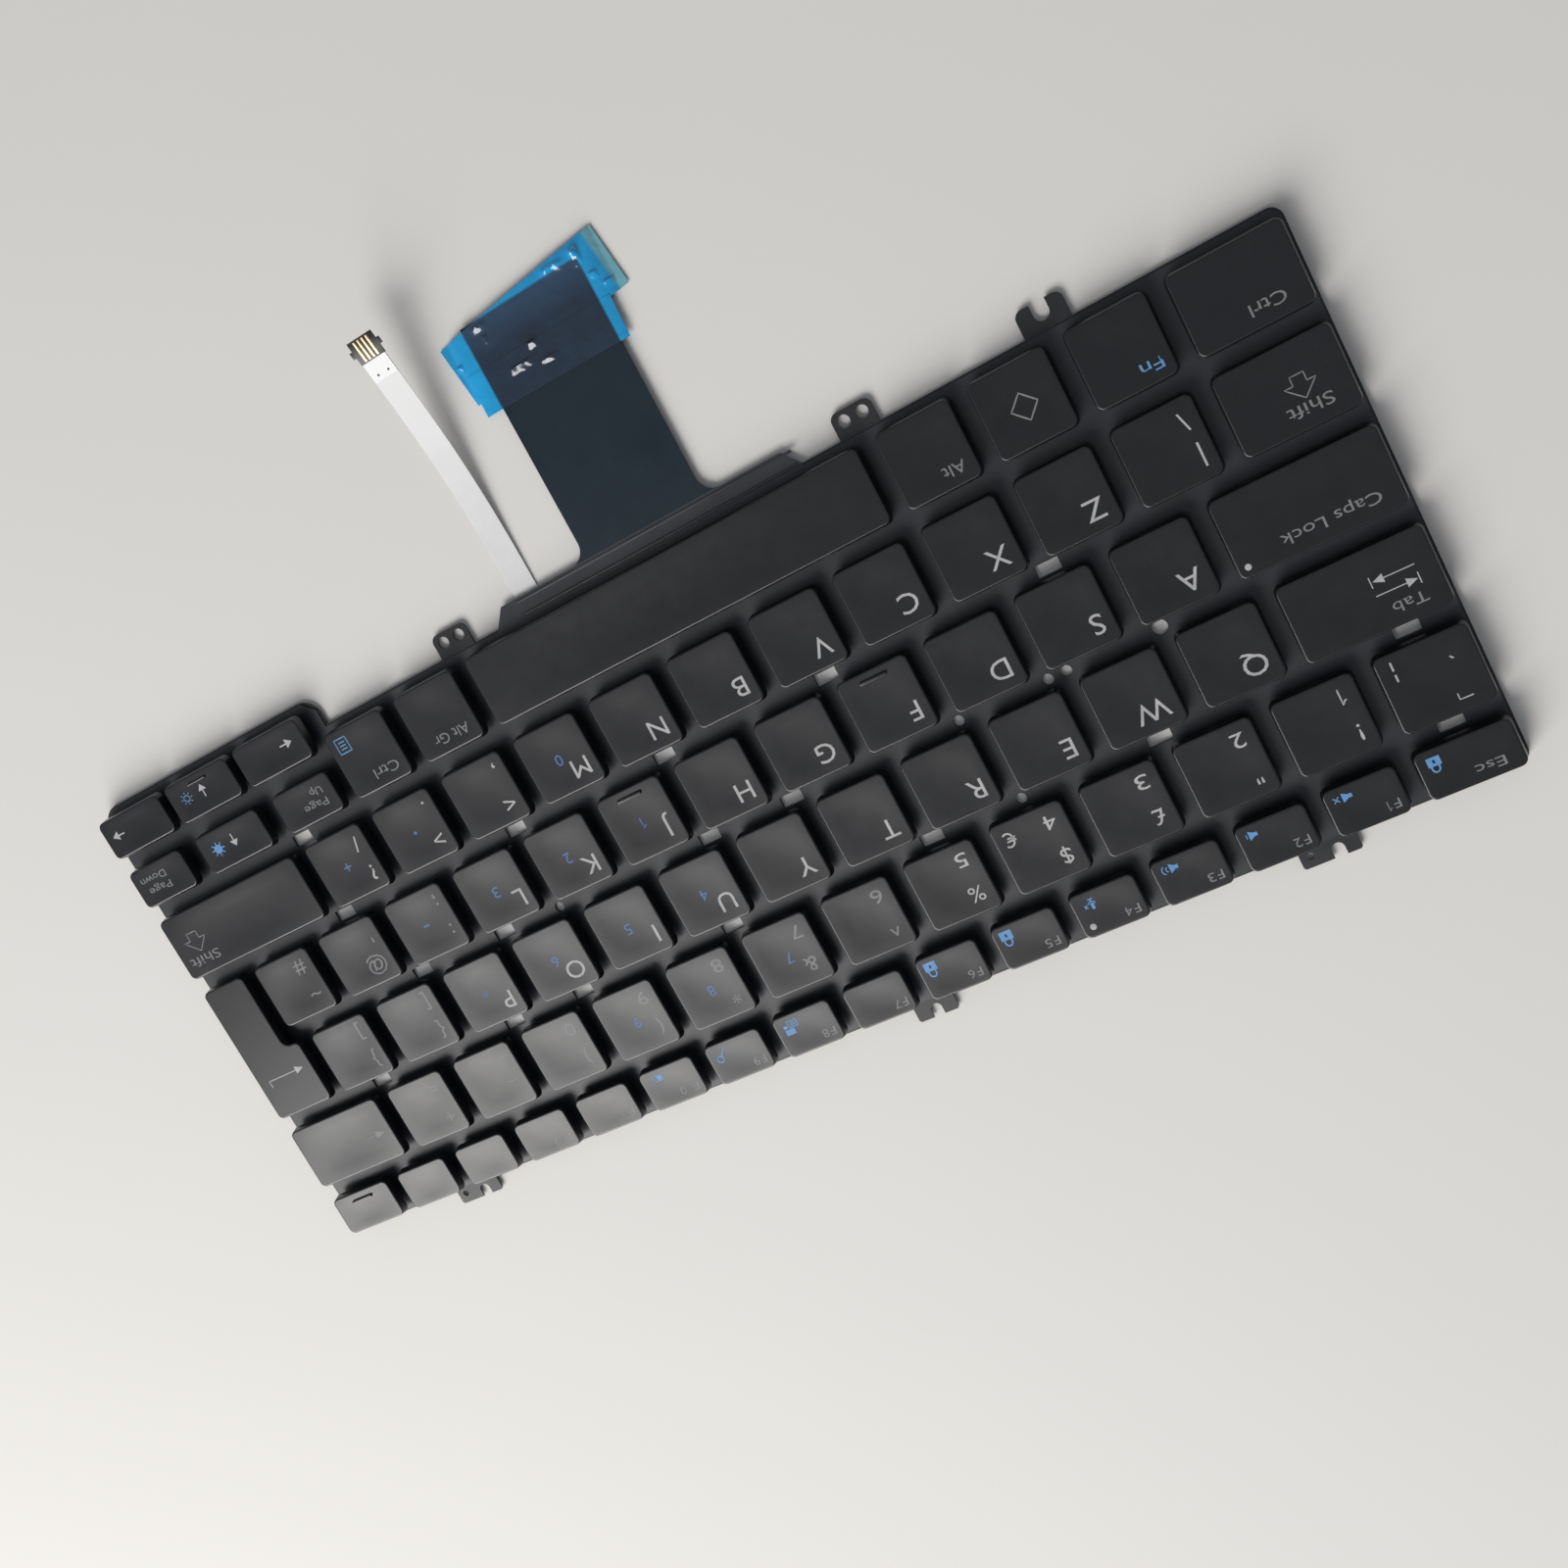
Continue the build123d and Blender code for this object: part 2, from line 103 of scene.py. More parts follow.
# Tones of the room's light and of the window light.
ROOM_TONE = (0.94, 0.97, 1.04, 1)
WINDOW_TONE = (1.0, 0.985, 0.96)

# Height from which a cap's top is looked for, in metres.
SIGHT_Z = 0.05

# Thickness of the stiffening film on the ribbon, in metres.
STIFF_FILM = 0.00008

# Small round holes through the film and the plate: place and radius, in millimetres.
LOCATING_HOLES = [
    (-52.2, 22.55, 1.1), (-71.1, 3.5, 1.1), (-67.3, 3.5, 1.1), (-48.3, 3.5, 1.1), (47.8, 3.5, 1.1),
    (-90.0, 3.5, 1.5),
]

# Route of the ribbon cable along its own length, in metres.
CABLE_ROUTE = [
    (0.0188, -0.052325, 0.00022),
    (0.0188, -0.0660, 0.00022),
    (0.0188, -0.0820, 0.00155),
    (0.0188, -0.0970, 0.0046),
    (0.0188, -0.1100, 0.0086),
]

# Places on the tape where it is crumpled: middle and reach along both axes, in millimetres.
CRUMPLES = [
    (-24.3, -107.3, 0.9, 2.0), (-19.2, -107.6, 2.2, 1.1), (-25.8, -102.8, 0.8, 0.9),
    (-27.8, -100.2, 1.0, 0.9), (0.0, -105.6, 1.7, 0.9), (-0.4, -103.2, 0.5, 1.0),
    (-8.5, -97.9, 1.2, 0.9), (-4.4, -95.4, 3.0, 0.9), (-10.2, -94.0, 2.0, 0.7),
    (7.6, -100.8, 0.7, 1.0),
]


def arc(x, y, across, up, first, last, steps=10):
    """Points along part of an ellipse, in the unit box of a drawn sign."""
    turns = [math.radians(first + (last - first) * step / steps) for step in range(steps + 1)]
    return [(x + across * math.cos(turn), y + up * math.sin(turn)) for turn in turns]


def speaker(wide):
    """Outline of a small loudspeaker, as wide as this share of its sign's box."""
    return [(0, 0.3), (0.4 * wide, 0.3), (wide, 0), (wide, 1), (0.4 * wide, 0.7), (0, 0.7)]


def rays(inner, outer):
    """Eight short rays round the middle of a sign's box."""
    return [[arc(0.5, 0.5, reach, reach, turn, turn, 1)[0] for reach in (inner, outer)]
            for turn in range(0, 360, 45)]


# Drawn signs, each in a unit box: width of the pen as a share of the height, pen lines (closed where
# they end at their start) and filled outlines (one inside another is a hole).
DRAWN_SIGNS = {
    "one": (0.115, [[(0.05, 0.72), (0.4, 0.8), (0.75, 0.99), (0.75, 0)]], []),
    "corner": (0.2, [[(0, 0.9), (0.95, 0.9), (0.95, 0)]], []),
    "mute": (0.13, [[(0.68, 0.22), (0.98, 0.78)], [(0.68, 0.78), (0.98, 0.22)]], [speaker(0.52)]),
    "quiet": (0.13, [[(0.93, 0.28), (0.93, 0.72)]], [speaker(0.74)]),
    "loud": (0.12, [arc(0.48, 0.5, 0.22, 0.32, -52, 52), arc(0.48, 0.5, 0.46, 0.56, -48, 48)],
             [speaker(0.5)]),
    "microphone": (0.11, [arc(0.34, 0.52, 0.27, 0.27, 180, 360), [(0.34, 0.24), (0.34, 0.03)],
                          [(0.14, 0.03), (0.54, 0.03)], [(0.74, 0.45), (0.98, 0.78)],
                          [(0.74, 0.78), (0.98, 0.45)]],
                   [arc(0.34, 0.86, 0.13, 0.14, 0, 180) + arc(0.34, 0.52, 0.13, 0.14, 180, 360)]),
    "padlock": (0.12, [[(0.23, 0.56), (0.23, 0.7)] + arc(0.5, 0.7, 0.27, 0.24, 180, 0) + [(0.77, 0.56)]],
                [[(0.02, 0), (0.98, 0), (0.98, 0.57), (0.02, 0.57)],
                 arc(0.5, 0.29, 0.1, 0.13, 0, 360)[:-1]]),
    "screens": (0.09, [[(0.02, 0.04), (0.62, 0.04), (0.62, 0.5), (0.02, 0.5), (0.02, 0.04)],
                       [(0.12, 0.2), (0.5, 0.2)], [(0.12, 0.34), (0.5, 0.34)]],
                [[(0.36, 0.6), (1, 0.6), (1, 1), (0.36, 1)],
                 [(0.74, 0.3), (1, 0.3), (1, 0.52), (0.74, 0.52)]]),
    "lens": (0.11, [arc(0.68, 0.72, 0.27, 0.23, 0, 360, 14), [(0.48, 0.52), (0.03, 0.03)]], []),
    "battery": (0.16, [[(0, 0.1), (0.86, 0.1), (0.86, 0.9), (0, 0.9), (0, 0.1)],
                       [(0.98, 0.35), (0.98, 0.65)]],
                [[(0.1, 0.2), (0.55, 0.2), (0.55, 0.8), (0.1, 0.8)]]),
    "tab_back": (0.11, [[(0.01, 0), (0.01, 1)], [(0.2, 0.5), (1, 0.5)]],
                 [[(0.05, 0.5), (0.3, 0.9), (0.3, 0.1)]]),
    "tab_on": (0.11, [[(0.99, 0), (0.99, 1)], [(0, 0.5), (0.8, 0.5)]],
               [[(0.95, 0.5), (0.7, 0.1), (0.7, 0.9)]]),
    "shift": (0.06, [[(0.5, 1), (1, 0.38), (0.72, 0.38), (0.72, 0), (0.28, 0), (0.28, 0.38), (0, 0.38),
                      (0.5, 1)]], []),
    "enter": (0.1, [[(0.99, 1), (0.99, 0.36), (0.2, 0.36)]], [[(0, 0.36), (0.22, 0.72), (0.22, 0)]]),
    "left": (0.17, [[(0.45, 0.5), (1, 0.5)]], [[(0, 0.5), (0.5, 1), (0.5, 0)]]),
    "right": (0.17, [[(0, 0.5), (0.55, 0.5)]], [[(1, 0.5), (0.5, 0), (0.5, 1)]]),
    "up": (0.12, [[(0.5, 0), (0.5, 0.6)]], [[(0.5, 1), (0, 0.52), (1, 0.52)]]),
    "down": (0.12, [[(0.5, 1), (0.5, 0.4)]], [[(0.5, 0), (1, 0.48), (0, 0.48)]]),
    "sun": (0.09, rays(0.3, 0.5), [arc(0.5, 0.5, 0.3, 0.3, 0, 360, 16)[:-1]]),
    "dim_sun": (0.08, rays(0.36, 0.5) + [arc(0.5, 0.5, 0.24, 0.24, 0, 360, 16)], []),
    "menu": (0.08, [[(0.02, 0.02), (0.98, 0.02), (0.98, 0.98), (0.02, 0.98), (0.02, 0.02)]]
             + [[(0.24, level), (0.76, level)] for level in (0.28, 0.5, 0.72)], []),
    "diamond": (0.07, [[(0.5, 1), (1, 0.5), (0.5, 0), (0, 0.5), (0.5, 1)]], []),
}

# Legends. A line stands on its baseline: text, capital height, distance from the left edge of the
# cap's top (from the right one where it ends there) and from its back edge, ink, and its width where
# that isn't the font's own. A sign is text and a drawn sign is an outline, fitted into a box: centre
# from the left edge (from the right one where negative) and from the back edge, width and height. All
# in millimetres.
FUNCTION_SIGNS = {
    0: [("line", "Esc", 1.9, 3.3, 1.4, "grey", 5.3), ("drawn", "padlock", -3.05, 6.3, 2.5, 3.1, "blue")],
    1: [("drawn", "mute", -3.3, 7.1, 3.5, 1.9, "blue")],
    2: [("drawn", "quiet", -2.8, 7.1, 2.2, 1.9, "blue")],
    3: [("drawn", "loud", -3.4, 7.1, 3.4, 2.0, "blue")],
    4: [("drawn", "microphone", -3.6, 6.5, 2.5, 2.3, "blue"), ("dot", -2.2, 2.1, 0.65, "pale")],
    5: [("drawn", "padlock", -2.75, 6.4, 2.7, 3.4, "blue")],
    6: [("drawn", "padlock", -2.75, 6.4, 2.7, 3.4, "blue")],
    8: [("drawn", "screens", -3.6, 6.4, 3.4, 3.2, "blue")],
    9: [("drawn", "lens", -3.15, 6.4, 2.8, 3.2, "blue")],
    10: [("drawn", "battery", -4.2, 7.1, 2.2, 1.5, "blue")],
    15: [("bar", 0.0, 2.1, 5.8, 0.7)],
}
FUNCTION_KEYS = 16
NAMED_FUNCTIONS = range(1, 13)
FUNCTION_HEIGHT, FUNCTION_TOP, FUNCTION_STEP = 1.9, 1.35, 1.65
NUMBER_SIGNS = ["¬`", "!1", "\"2", "£3", "$4", "%5", "^6", "&7", "*8", "(9", ")0", "_-", "+="]
NUMBER_EXTRAS = {
    0: [("right", "¦", 3.1, 2.6, 9.6, "pale")],
    4: [("right", "€", 3.1, 2.0, 9.9, "pale", 2.4)],
    7: [("sign", "7", 7.6, 7.0, 1.6, 2.4, "faint_blue")],
    8: [("sign", "8", 7.6, 7.0, 1.6, 2.4, "faint_blue")],
    9: [("sign", "9", 7.6, 7.0, 1.6, 2.4, "faint_blue")],
}
CURSOR_LEGENDS = [
    [("line", "Page", 1.75, 2.8, 2.2, "grey", 6.4), ("line", "Up", 1.75, 2.8, 4.9, "grey", 3.2)],
    [("drawn", "up", 8.8, 5.0, 2.2, 3.0, "pale"), ("drawn", "sun", 13.5, 4.7, 3.5, 3.4, "blue")],
    [("line", "Page", 1.75, 6.2, 2.2, "grey", 6.4), ("line", "Down", 1.75, 6.2, 4.9, "grey", 7.2)],
    [("drawn", "left", 4.8, 4.9, 3.4, 2.1, "pale")],
    [("drawn", "down", 8.9, 4.8, 2.2, 3.0, "pale"), ("drawn", "dim_sun", 13.6, 4.8, 3.1, 2.9, "blue"),
     ("bar", 0.0, 1.8, 5.2, 0.45)],
    [("drawn", "right", -3.7, 4.9, 3.4, 2.1, "pale")],
]
SIGN_PAIRS = {
    "key_left_bracket": "{[", "key_right_bracket": "}]", "key_semicolon": ":;",
    "key_apostrophe": "@'", "key_hash": "~#", "key_backslash": "|\\", "key_comma": "<,",
    "key_period": ">.", "key_slash": "?/",
}
# These sign pairs, and the number-row keys from the 6 key on, all sit on the right-hand caps in the
# sheen. They take the grey ink instead of the pale one: a painted darker print that stands in for the
# sheen washing them out.
SHEEN_DIMMED_SIGNS = {"key_left_bracket", "key_right_bracket", "key_semicolon", "key_apostrophe", "key_hash"}
FIRST_SHEEN_DIMMED_NUMBER = 6
# The keypad signs are printed in the darker blue. It is painted to stand in for the sheen that washes
# them out on the right-hand caps.
KEYPAD_SIGNS = {
    "key_u": "4", "key_i": "5", "key_o": "6", "key_p": "*", "key_j": "1", "key_k": "2", "key_l": "3",
    "key_semicolon": "-", "key_m": "0", "key_period": "·", "key_slash": "+",
}
KEYPAD_PLACE = (7.8, 7.3)
KEYPAD_SIZES = {"·": (0.8, 0.8), "-": (1.6, 0.45), "+": (1.9, 1.9), "*": (1.6, 1.6)}
KEYPAD_DIGIT = (1.6, 2.4)
LOWER_SIGN = 7.0
WORD_LEGENDS = {
    "key_backspace": [("drawn", "left", 4.6, 6.8, 5.6, 1.7, "grey")],
    "key_tab": [("line", "Tab", 2.1, 3.6, 2.1, "grey", 6.1),
                ("drawn", "tab_back", 7.5, 6.5, 7.8, 2.1, "pale"),
                ("drawn", "tab_on", 7.5, 9.1, 7.8, 2.1, "pale")],
    "key_caps_lock": [("line", "Caps Lock", 2.2, 3.7, 2.2, "grey", 18.0),
                      ("dot", -1.9, 1.9, 0.6, "pale")],
    "key_left_shift": [("line", "Shift", 2.3, 3.9, 2.2, "grey", 8.1),
                       ("drawn", "shift", 8.0, 7.3, 5.6, 4.3, "grey")],
    "key_right_shift": [("right", "Shift", 2.3, 1.9, 2.2, "grey", 8.6),
                        ("drawn", "shift", -6.3, 7.8, 6.0, 4.7, "grey")],
    "key_left_ctrl": [("line", "Ctrl", 2.3, 4.0, 2.1, "grey", 6.4)],
    "key_fn": [("line", "Fn", 2.3, 1.8, 1.8, "blue", 4.1)],
    "key_super": [("drawn", "diamond", 7.3, 7.2, 5.2, 5.2, "grey")],
    "key_left_alt": [("line", "Alt", 2.3, 2.2, 1.9, "grey", 4.5)],
    "key_alt_gr": [("line", "Alt Gr", 2.3, 2.4, 1.9, "grey", 8.8)],
    "key_right_ctrl": [("line", "Ctrl", 2.3, 2.2, 1.9, "grey", 6.4),
                       ("drawn", "menu", -3.4, 11.7, 3.0, 3.4, "blue")],
    "key_enter": [("drawn", "enter", 7.5, 9.0, 10.4, 2.6, "pale")],
    "key_space": [],
}
HOME_BARS = {"key_f": [("bar", 0.0, 1.9, 5.9, 0.7)], "key_j": [("bar", 0.0, 1.9, 5.9, 0.7)]}


def length(name, about, value):
    """Property that holds a length in metres."""
    return bpy.props.FloatProperty(
        name=name, description=about, default=value, unit="LENGTH", precision=5)


def share(name, about, value):
    """Property that holds a share of one."""
    return bpy.props.FloatProperty(
        name=name, description=about, default=value, min=0, max=1, subtype="FACTOR")


def colour(name, about, value):
    """Property that holds a colour."""
    return bpy.props.FloatVectorProperty(
        name=name, description=about, default=value, size=3, min=0, max=1, subtype="COLOR")


class CapSettings(bpy.types.PropertyGroup):
    corner_radius: length("Corner radius", "Radius of a cap's upright corners at its skirt", 0.0017)
    edge_radius: length("Edge radius", "Rounding of the rim round a cap's top", 0.00022)
    land: length("Land", "Flat land between a cap's rim and its dish", 0.00018)
    dish_depth: length("Dish depth", "How far the middle of a full cap's top lies below its rim", 0.00022)
    draft: length("Draft", "How much narrower a cap is at its top, each side", 0.00035)
    wall: length("Wall", "Thickness of a cap's walls", 0.0009)
    pocket: length("Pocket", "Depth of the hollow under a cap", 0.0011)
    bar_height: length("Bar height", "Height of the bar that a finger feels", 0.00058)
    colour: colour("Colour", "Charcoal of the moulded caps", (0.006, 0.0065, 0.0085))
    roughness: share("Roughness", "Roughness of the moulded caps", 0.30)


class LegendSettings(bpy.types.PropertyGroup):
    letter_height: length("Letter height", "Height of the letters", 0.0041)
    letter_left: length("Letter left", "From the left edge of a cap's top to its letter", 0.0021)
    letter_top: length("Letter top", "From the back edge of a cap's top to its letter", 0.0020)
    thickness: length("Thickness", "How far the print stands above a cap", 0.000012)
    pale: colour("Pale print", "Colour of the letters", (0.43, 0.43, 0.435))
    # Grey print: on the words this is their own dimmer print. On the legends in the sheen on the right
    # (the darker sign pairs, the number row from the 6 key, Backspace's arrow) it is a painted darker
    # print that stands in for the sheen washing them out.
    grey: colour("Grey print", "Colour of the words, printed thinner", (0.21, 0.212, 0.22))
    blue: colour("Blue print", "Colour of the second layer of signs", (0.12, 0.30, 0.58))
    # Darker blue of the keypad signs, which are all on the right-hand caps: painted, it stands in for the
    # sheen that washes these signs out.
    faint_blue: colour("Faint blue print", "Colour of the thinner keypad signs", (0.085, 0.17, 0.38))


class LayerSettings(bpy.types.PropertyGroup):
    # The film's tone is partly its own dark colour and partly painted light: it is lighter than the
    # tail's so that the shade in the gaps between the caps is lifted.
    film: colour("Film", "Colour of the black film", (0.020, 0.022, 0.028))
    tail: colour("Tail", "Colour of the film in front of the lip", (0.0023, 0.0124, 0.0231))
    tail_y: length("Tail start", "Where the film's lip ends and its tail starts", -0.0576)
    coat: colour("Coat", "Colour of the coated steel plate", (0.018, 0.019, 0.022))
    panel: colour("Panel", "Colour of the white panel under the plate", (0.80, 0.79, 0.77))
    bead_height: length("Bead height", "Height of the folded bead along the front lip", 0.00024)
    bead_width: length("Bead width", "Width of the folded bead along the front lip", 0.0006)
    bead_y: length("Bead place", "Middle line of the bead", -0.0540)
    hem_y: length("Hem place", "Middle line of the low hem near the lip's edge", -0.0568)
    bead_left: length("Bead left", "Left end of the bead and the hem", -0.0437)
    bead_right: length("Bead right", "Right end of the bead and the hem", 0.0213)


class LinkSettings(bpy.types.PropertyGroup):
    width: length("Width", "Width of the outer link", 0.0102)
    reach: length("Reach", "Length of a link", 0.0100)
    half_reach: length("Half reach", "Length of a link under a half-height key", 0.0073)
    half_width: length("Half width", "Width of a link under a half-height key", 0.0020)
    rail: length("Rail", "Width of a link's arms", 0.0007)
    thickness: length("Thickness", "Thickness of a link", 0.0007)
    clearance: length("Clearance", "Room between the outer link and the inner one", 0.0003)
    dome_foot: length("Dome foot", "Radius of a rubber dome at its foot", 0.0024)
    dome_head: length("Dome head", "Radius of a rubber dome at its head", 0.0013)
    travel: length("Travel", "How far a key goes down", 0.0016)
    link: colour("Link", "Colour of the links", (0.012, 0.012, 0.013))
    rubber: colour("Rubber", "Colour of the domes", (0.42, 0.42, 0.41))
    steel: colour("Steel", "Colour of the stabiliser wire", (0.55, 0.55, 0.56))


class TapeSettings(bpy.types.PropertyGroup):
    length: length("Length", "Length of the outer tape", 0.0393)
    width: length("Width", "Width of the outer tape", 0.0126)
    strip_length: length("Strip length", "Length of the inner strip", 0.0338)
    strip_width: length("Strip width", "Width of the inner strip", 0.0085)
    thickness: length("Thickness", "Thickness of the tape", 0.00005)
    crease: length("Crease", "Height of the creases", 0.00010)
    crumple: share("Crumple", "Height of a crumpled place, as a share of its reach", 0.56)
    droop: length("Droop", "How far the tape hangs down past the tail's sides", 0.0010)
    colour: colour("Colour", "Blue of the clear tape over the pale floor", (0.004, 0.36, 0.74))
    on_tail: colour("On the tail", "Deep blue of the tape on the black tail", (0.009, 0.025, 0.0505))
    cover: share("Cover", "How much the tape hides what lies under it", 0.97)
    fringe: colour("Fringe", "Paler blue of the single layer at the loose left end", (0.15, 0.40, 0.47))


class CableSettings(bpy.types.PropertyGroup):
    width: length("Width", "Width of the ribbon", 0.0056)
    thickness: length("Thickness", "Thickness of the ribbon", 0.00018)
    real_length: length("Length", "Length of the ribbon from the panel to its end", 0.0585)
    stiffener: length("Stiffener", "Length of the stiffening film at the end", 0.0052)
    end_width: length("End width", "Width of the end piece", 0.0059)
    end_length: length("End length", "Length of the end piece", 0.0048)
    ear_width: length("Ear width", "Width of the end piece across its ears", 0.0072)
    ear_length: length("Ear length", "Length of an ear", 0.0014)
    end_thickness: length("End thickness", "Thickness of the end piece", 0.0003)
    contact_pitch: length("Contact pitch", "Distance between the contacts", 0.0010)
    dot_radius: length("Dot radius", "Radius of the two small marks where the stiffener starts", 0.00022)
    colour: colour("Colour", "White of the ribbon", (0.76, 0.76, 0.76))
    end_colour: colour("End colour", "Black of the end piece", (0.018, 0.018, 0.019))
    gold: colour("Contacts", "Gold of the contacts", (0.54, 0.41, 0.24))


class StageSettings(bpy.types.PropertyGroup):
    floor: colour("Floor", "Pale paper that the keyboard lies on", (0.75, 0.735, 0.705))
    window: bpy.props.FloatProperty(
        name="Window", description="Power of the window light", default=33.0, subtype="POWER")
    window_width: length("Window width", "Width of the window light", 1.17)
    window_height: length("Window height", "Height of the window light", 1.24)
    window_distance: length("Window distance", "From the keyboard to the window light", 1.6)
    window_turn: bpy.props.FloatProperty(
        name="Window turn", description="Direction of the window light, from the right towards the back",
        default=math.radians(45), subtype="ANGLE")
    window_rise: bpy.props.FloatProperty(
        name="Window rise", description="How high the window light stands", default=math.radians(36.5),
        subtype="ANGLE")
    sky: bpy.props.FloatProperty(name="Room", description="Strength of the room's light", default=0.27)


def settings(name):
    """Values of one of the property groups."""
    return getattr(bpy.context.scene, "keyboard_" + name)


def take(obj):
    """Select one object alone and make it active."""
    bpy.ops.object.select_all(action="DESELECT")
    obj.select_set(True)
    bpy.context.view_layer.objects.active = obj
    return obj


def choose(kind, test):
    """In edit mode, select the vertices, edges or faces for which the test holds."""
    bpy.ops.mesh.select_mode(type=kind)
    bpy.ops.mesh.select_all(action="DESELECT")
    mesh = bpy.context.edit_object.data
    work = bmesh.from_edit_mesh(mesh)
    for item in {"VERT": work.verts, "EDGE": work.edges, "FACE": work.faces}[kind]:
        if test(item):
            item.select_set(True)
    bmesh.update_edit_mesh(mesh)


def start_plane(name, width, depth, z=0.0):
    """A flat rectangle about the origin, in millimetres, left in edit mode with everything selected."""
    bpy.ops.object.select_all(action="DESELECT")
    bpy.ops.mesh.primitive_plane_add(size=1)
    piece = bpy.context.object
    piece.name = name
    bpy.ops.object.mode_set(mode="EDIT")
    bpy.ops.transform.resize(value=(width, depth, 1))
    bpy.ops.transform.translate(value=(0, 0, z))
    return piece


def leave_edit(smooth_below=35):
    """Go back to object mode and smooth all but the edges sharper than this angle, in degrees."""
    bpy.ops.object.mode_set(mode="OBJECT")
    bpy.ops.object.shade_smooth_by_angle(angle=math.radians(smooth_below))


def place_piece(piece, material, place=Matrix()):
    """Bring a piece that was modelled in millimetres to metres and to its place, and finish it."""
    piece.data.transform(place @ Matrix.Scale(MM, 4))
    piece.data.materials.clear()
    piece.data.materials.append(material)
    return piece


def use_modifier(piece, kind, **values):
    """Add a modifier with these values and apply it."""
    take(piece)
    step = piece.modifiers.new(kind.title(), kind)
    for name, value in values.items():
        setattr(step, name, value)
    bpy.ops.object.modifier_apply(modifier=step.name)


def copy_of(master, name, move):
    """A copy with its own mesh, shifted in that mesh."""
    piece = bpy.data.objects.new(name, master.data.copy())
    bpy.context.collection.objects.link(piece)
    piece.data.transform(Matrix.Translation(move))
    return piece


def join(pieces, name):
    """Join pieces into the first one."""
    take(pieces[0])
    for piece in pieces[1:]:
        piece.select_set(True)
    if len(pieces) > 1:
        bpy.ops.object.join()
    pieces[0].name = name
    pieces[0].data.name = name
    return pieces[0]


def hand_over(piece, slot, body, *nodes):
    """Hang a piece on the empty of the body that it rides, and hide the CAD nodes that it replaces. The
    slot is not used.
    """
    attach(piece, body)
    if nodes:
        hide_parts(*nodes)


def solids_of(node):
    """Boxes of the separate solids in a CAD node, from the back row to the front, left to right."""
    work = bmesh.new()
    work.from_mesh(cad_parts[node].data)
    bmesh.ops.remove_doubles(work, verts=work.verts, dist=1e-6)
    left = set(work.verts)
    boxes = []
    while left:
        heap = [left.pop()]
        found = []
        while heap:
            vert = heap.pop()
            found.append(vert.co.copy())
            for edge in vert.link_edges:
                other = edge.other_vert(vert)
                if other in left:
                    left.remove(other)
                    heap.append(other)
        low = Vector(min(p[i] for p in found) for i in range(3))
        high = Vector(max(p[i] for p in found) for i in range(3))
        boxes.append((low, high))
    work.free()
    return sorted(boxes, key=lambda box: (-round(box[0].y, 4), box[0].x))


def new_group(name, inputs, outputs):
    """A shader node group with these named sockets."""
    tree = bpy.data.node_groups.new(name, "ShaderNodeTree")
    for label, kind in inputs:
        tree.interface.new_socket(label, in_out="INPUT", socket_type="NodeSocket" + kind)
    for label in outputs:
        tree.interface.new_socket(label, in_out="OUTPUT", socket_type="NodeSocketFloat")
    return tree, tree.nodes.new("NodeGroupInput"), tree.nodes.new("NodeGroupOutput")


def moulded_grain():
    """Fine moulded grain, and broad clouds of tone."""
    if "Moulded Grain" in bpy.data.node_groups:
        return bpy.data.node_groups["Moulded Grain"]
    tree, start, end = new_group(
        "Moulded Grain", [("Vector", "Vector"), ("Grain Scale", "Float"), ("Cloud Scale", "Float")],
        ["Grain", "Cloud"])
    for label, detail in (("Grain", 3), ("Cloud", 5)):
        field = tree.nodes.new("ShaderNodeTexNoise")
        field.inputs["Detail"].default_value = detail
        field.inputs["Roughness"].default_value = 0.6
        tree.links.new(start.outputs["Vector"], field.inputs["Vector"])
        tree.links.new(start.outputs[label + " Scale"], field.inputs["Scale"])
        tree.links.new(field.outputs["Fac"], end.inputs[label])
    return tree


def settled_dust():
    """Specks of dust, thicker in some places than in others."""
    if "Settled Dust" in bpy.data.node_groups:
        return bpy.data.node_groups["Settled Dust"]
    tree, start, end = new_group(
        "Settled Dust", [("Vector", "Vector"), ("Scale", "Float"), ("Size", "Float")], ["Mask"])
    specks = tree.nodes.new("ShaderNodeTexVoronoi")
    edge = tree.nodes.new("ShaderNodeMapRange")
    edge.inputs["To Min"].default_value = 1.0
    edge.inputs["To Max"].default_value = 0.0
    patches = tree.nodes.new("ShaderNodeTexNoise")
    patches.inputs["Scale"].default_value = 35.0
    spread = tree.nodes.new("ShaderNodeMapRange")
    spread.inputs["From Min"].default_value = 0.48
    spread.inputs["From Max"].default_value = 0.75
    both = tree.nodes.new("ShaderNodeMath")
    both.operation = "MULTIPLY"
    tree.links.new(start.outputs["Vector"], specks.inputs["Vector"])
    tree.links.new(start.outputs["Scale"], specks.inputs["Scale"])
    tree.links.new(start.outputs["Vector"], patches.inputs["Vector"])
    tree.links.new(specks.outputs["Distance"], edge.inputs["Value"])
    tree.links.new(start.outputs["Size"], edge.inputs["From Max"])
    tree.links.new(patches.outputs["Fac"], spread.inputs["Value"])
    tree.links.new(edge.outputs["Result"], both.inputs[0])
    tree.links.new(spread.outputs["Result"], both.inputs[1])
    tree.links.new(both.outputs["Value"], end.inputs["Mask"])
    return tree


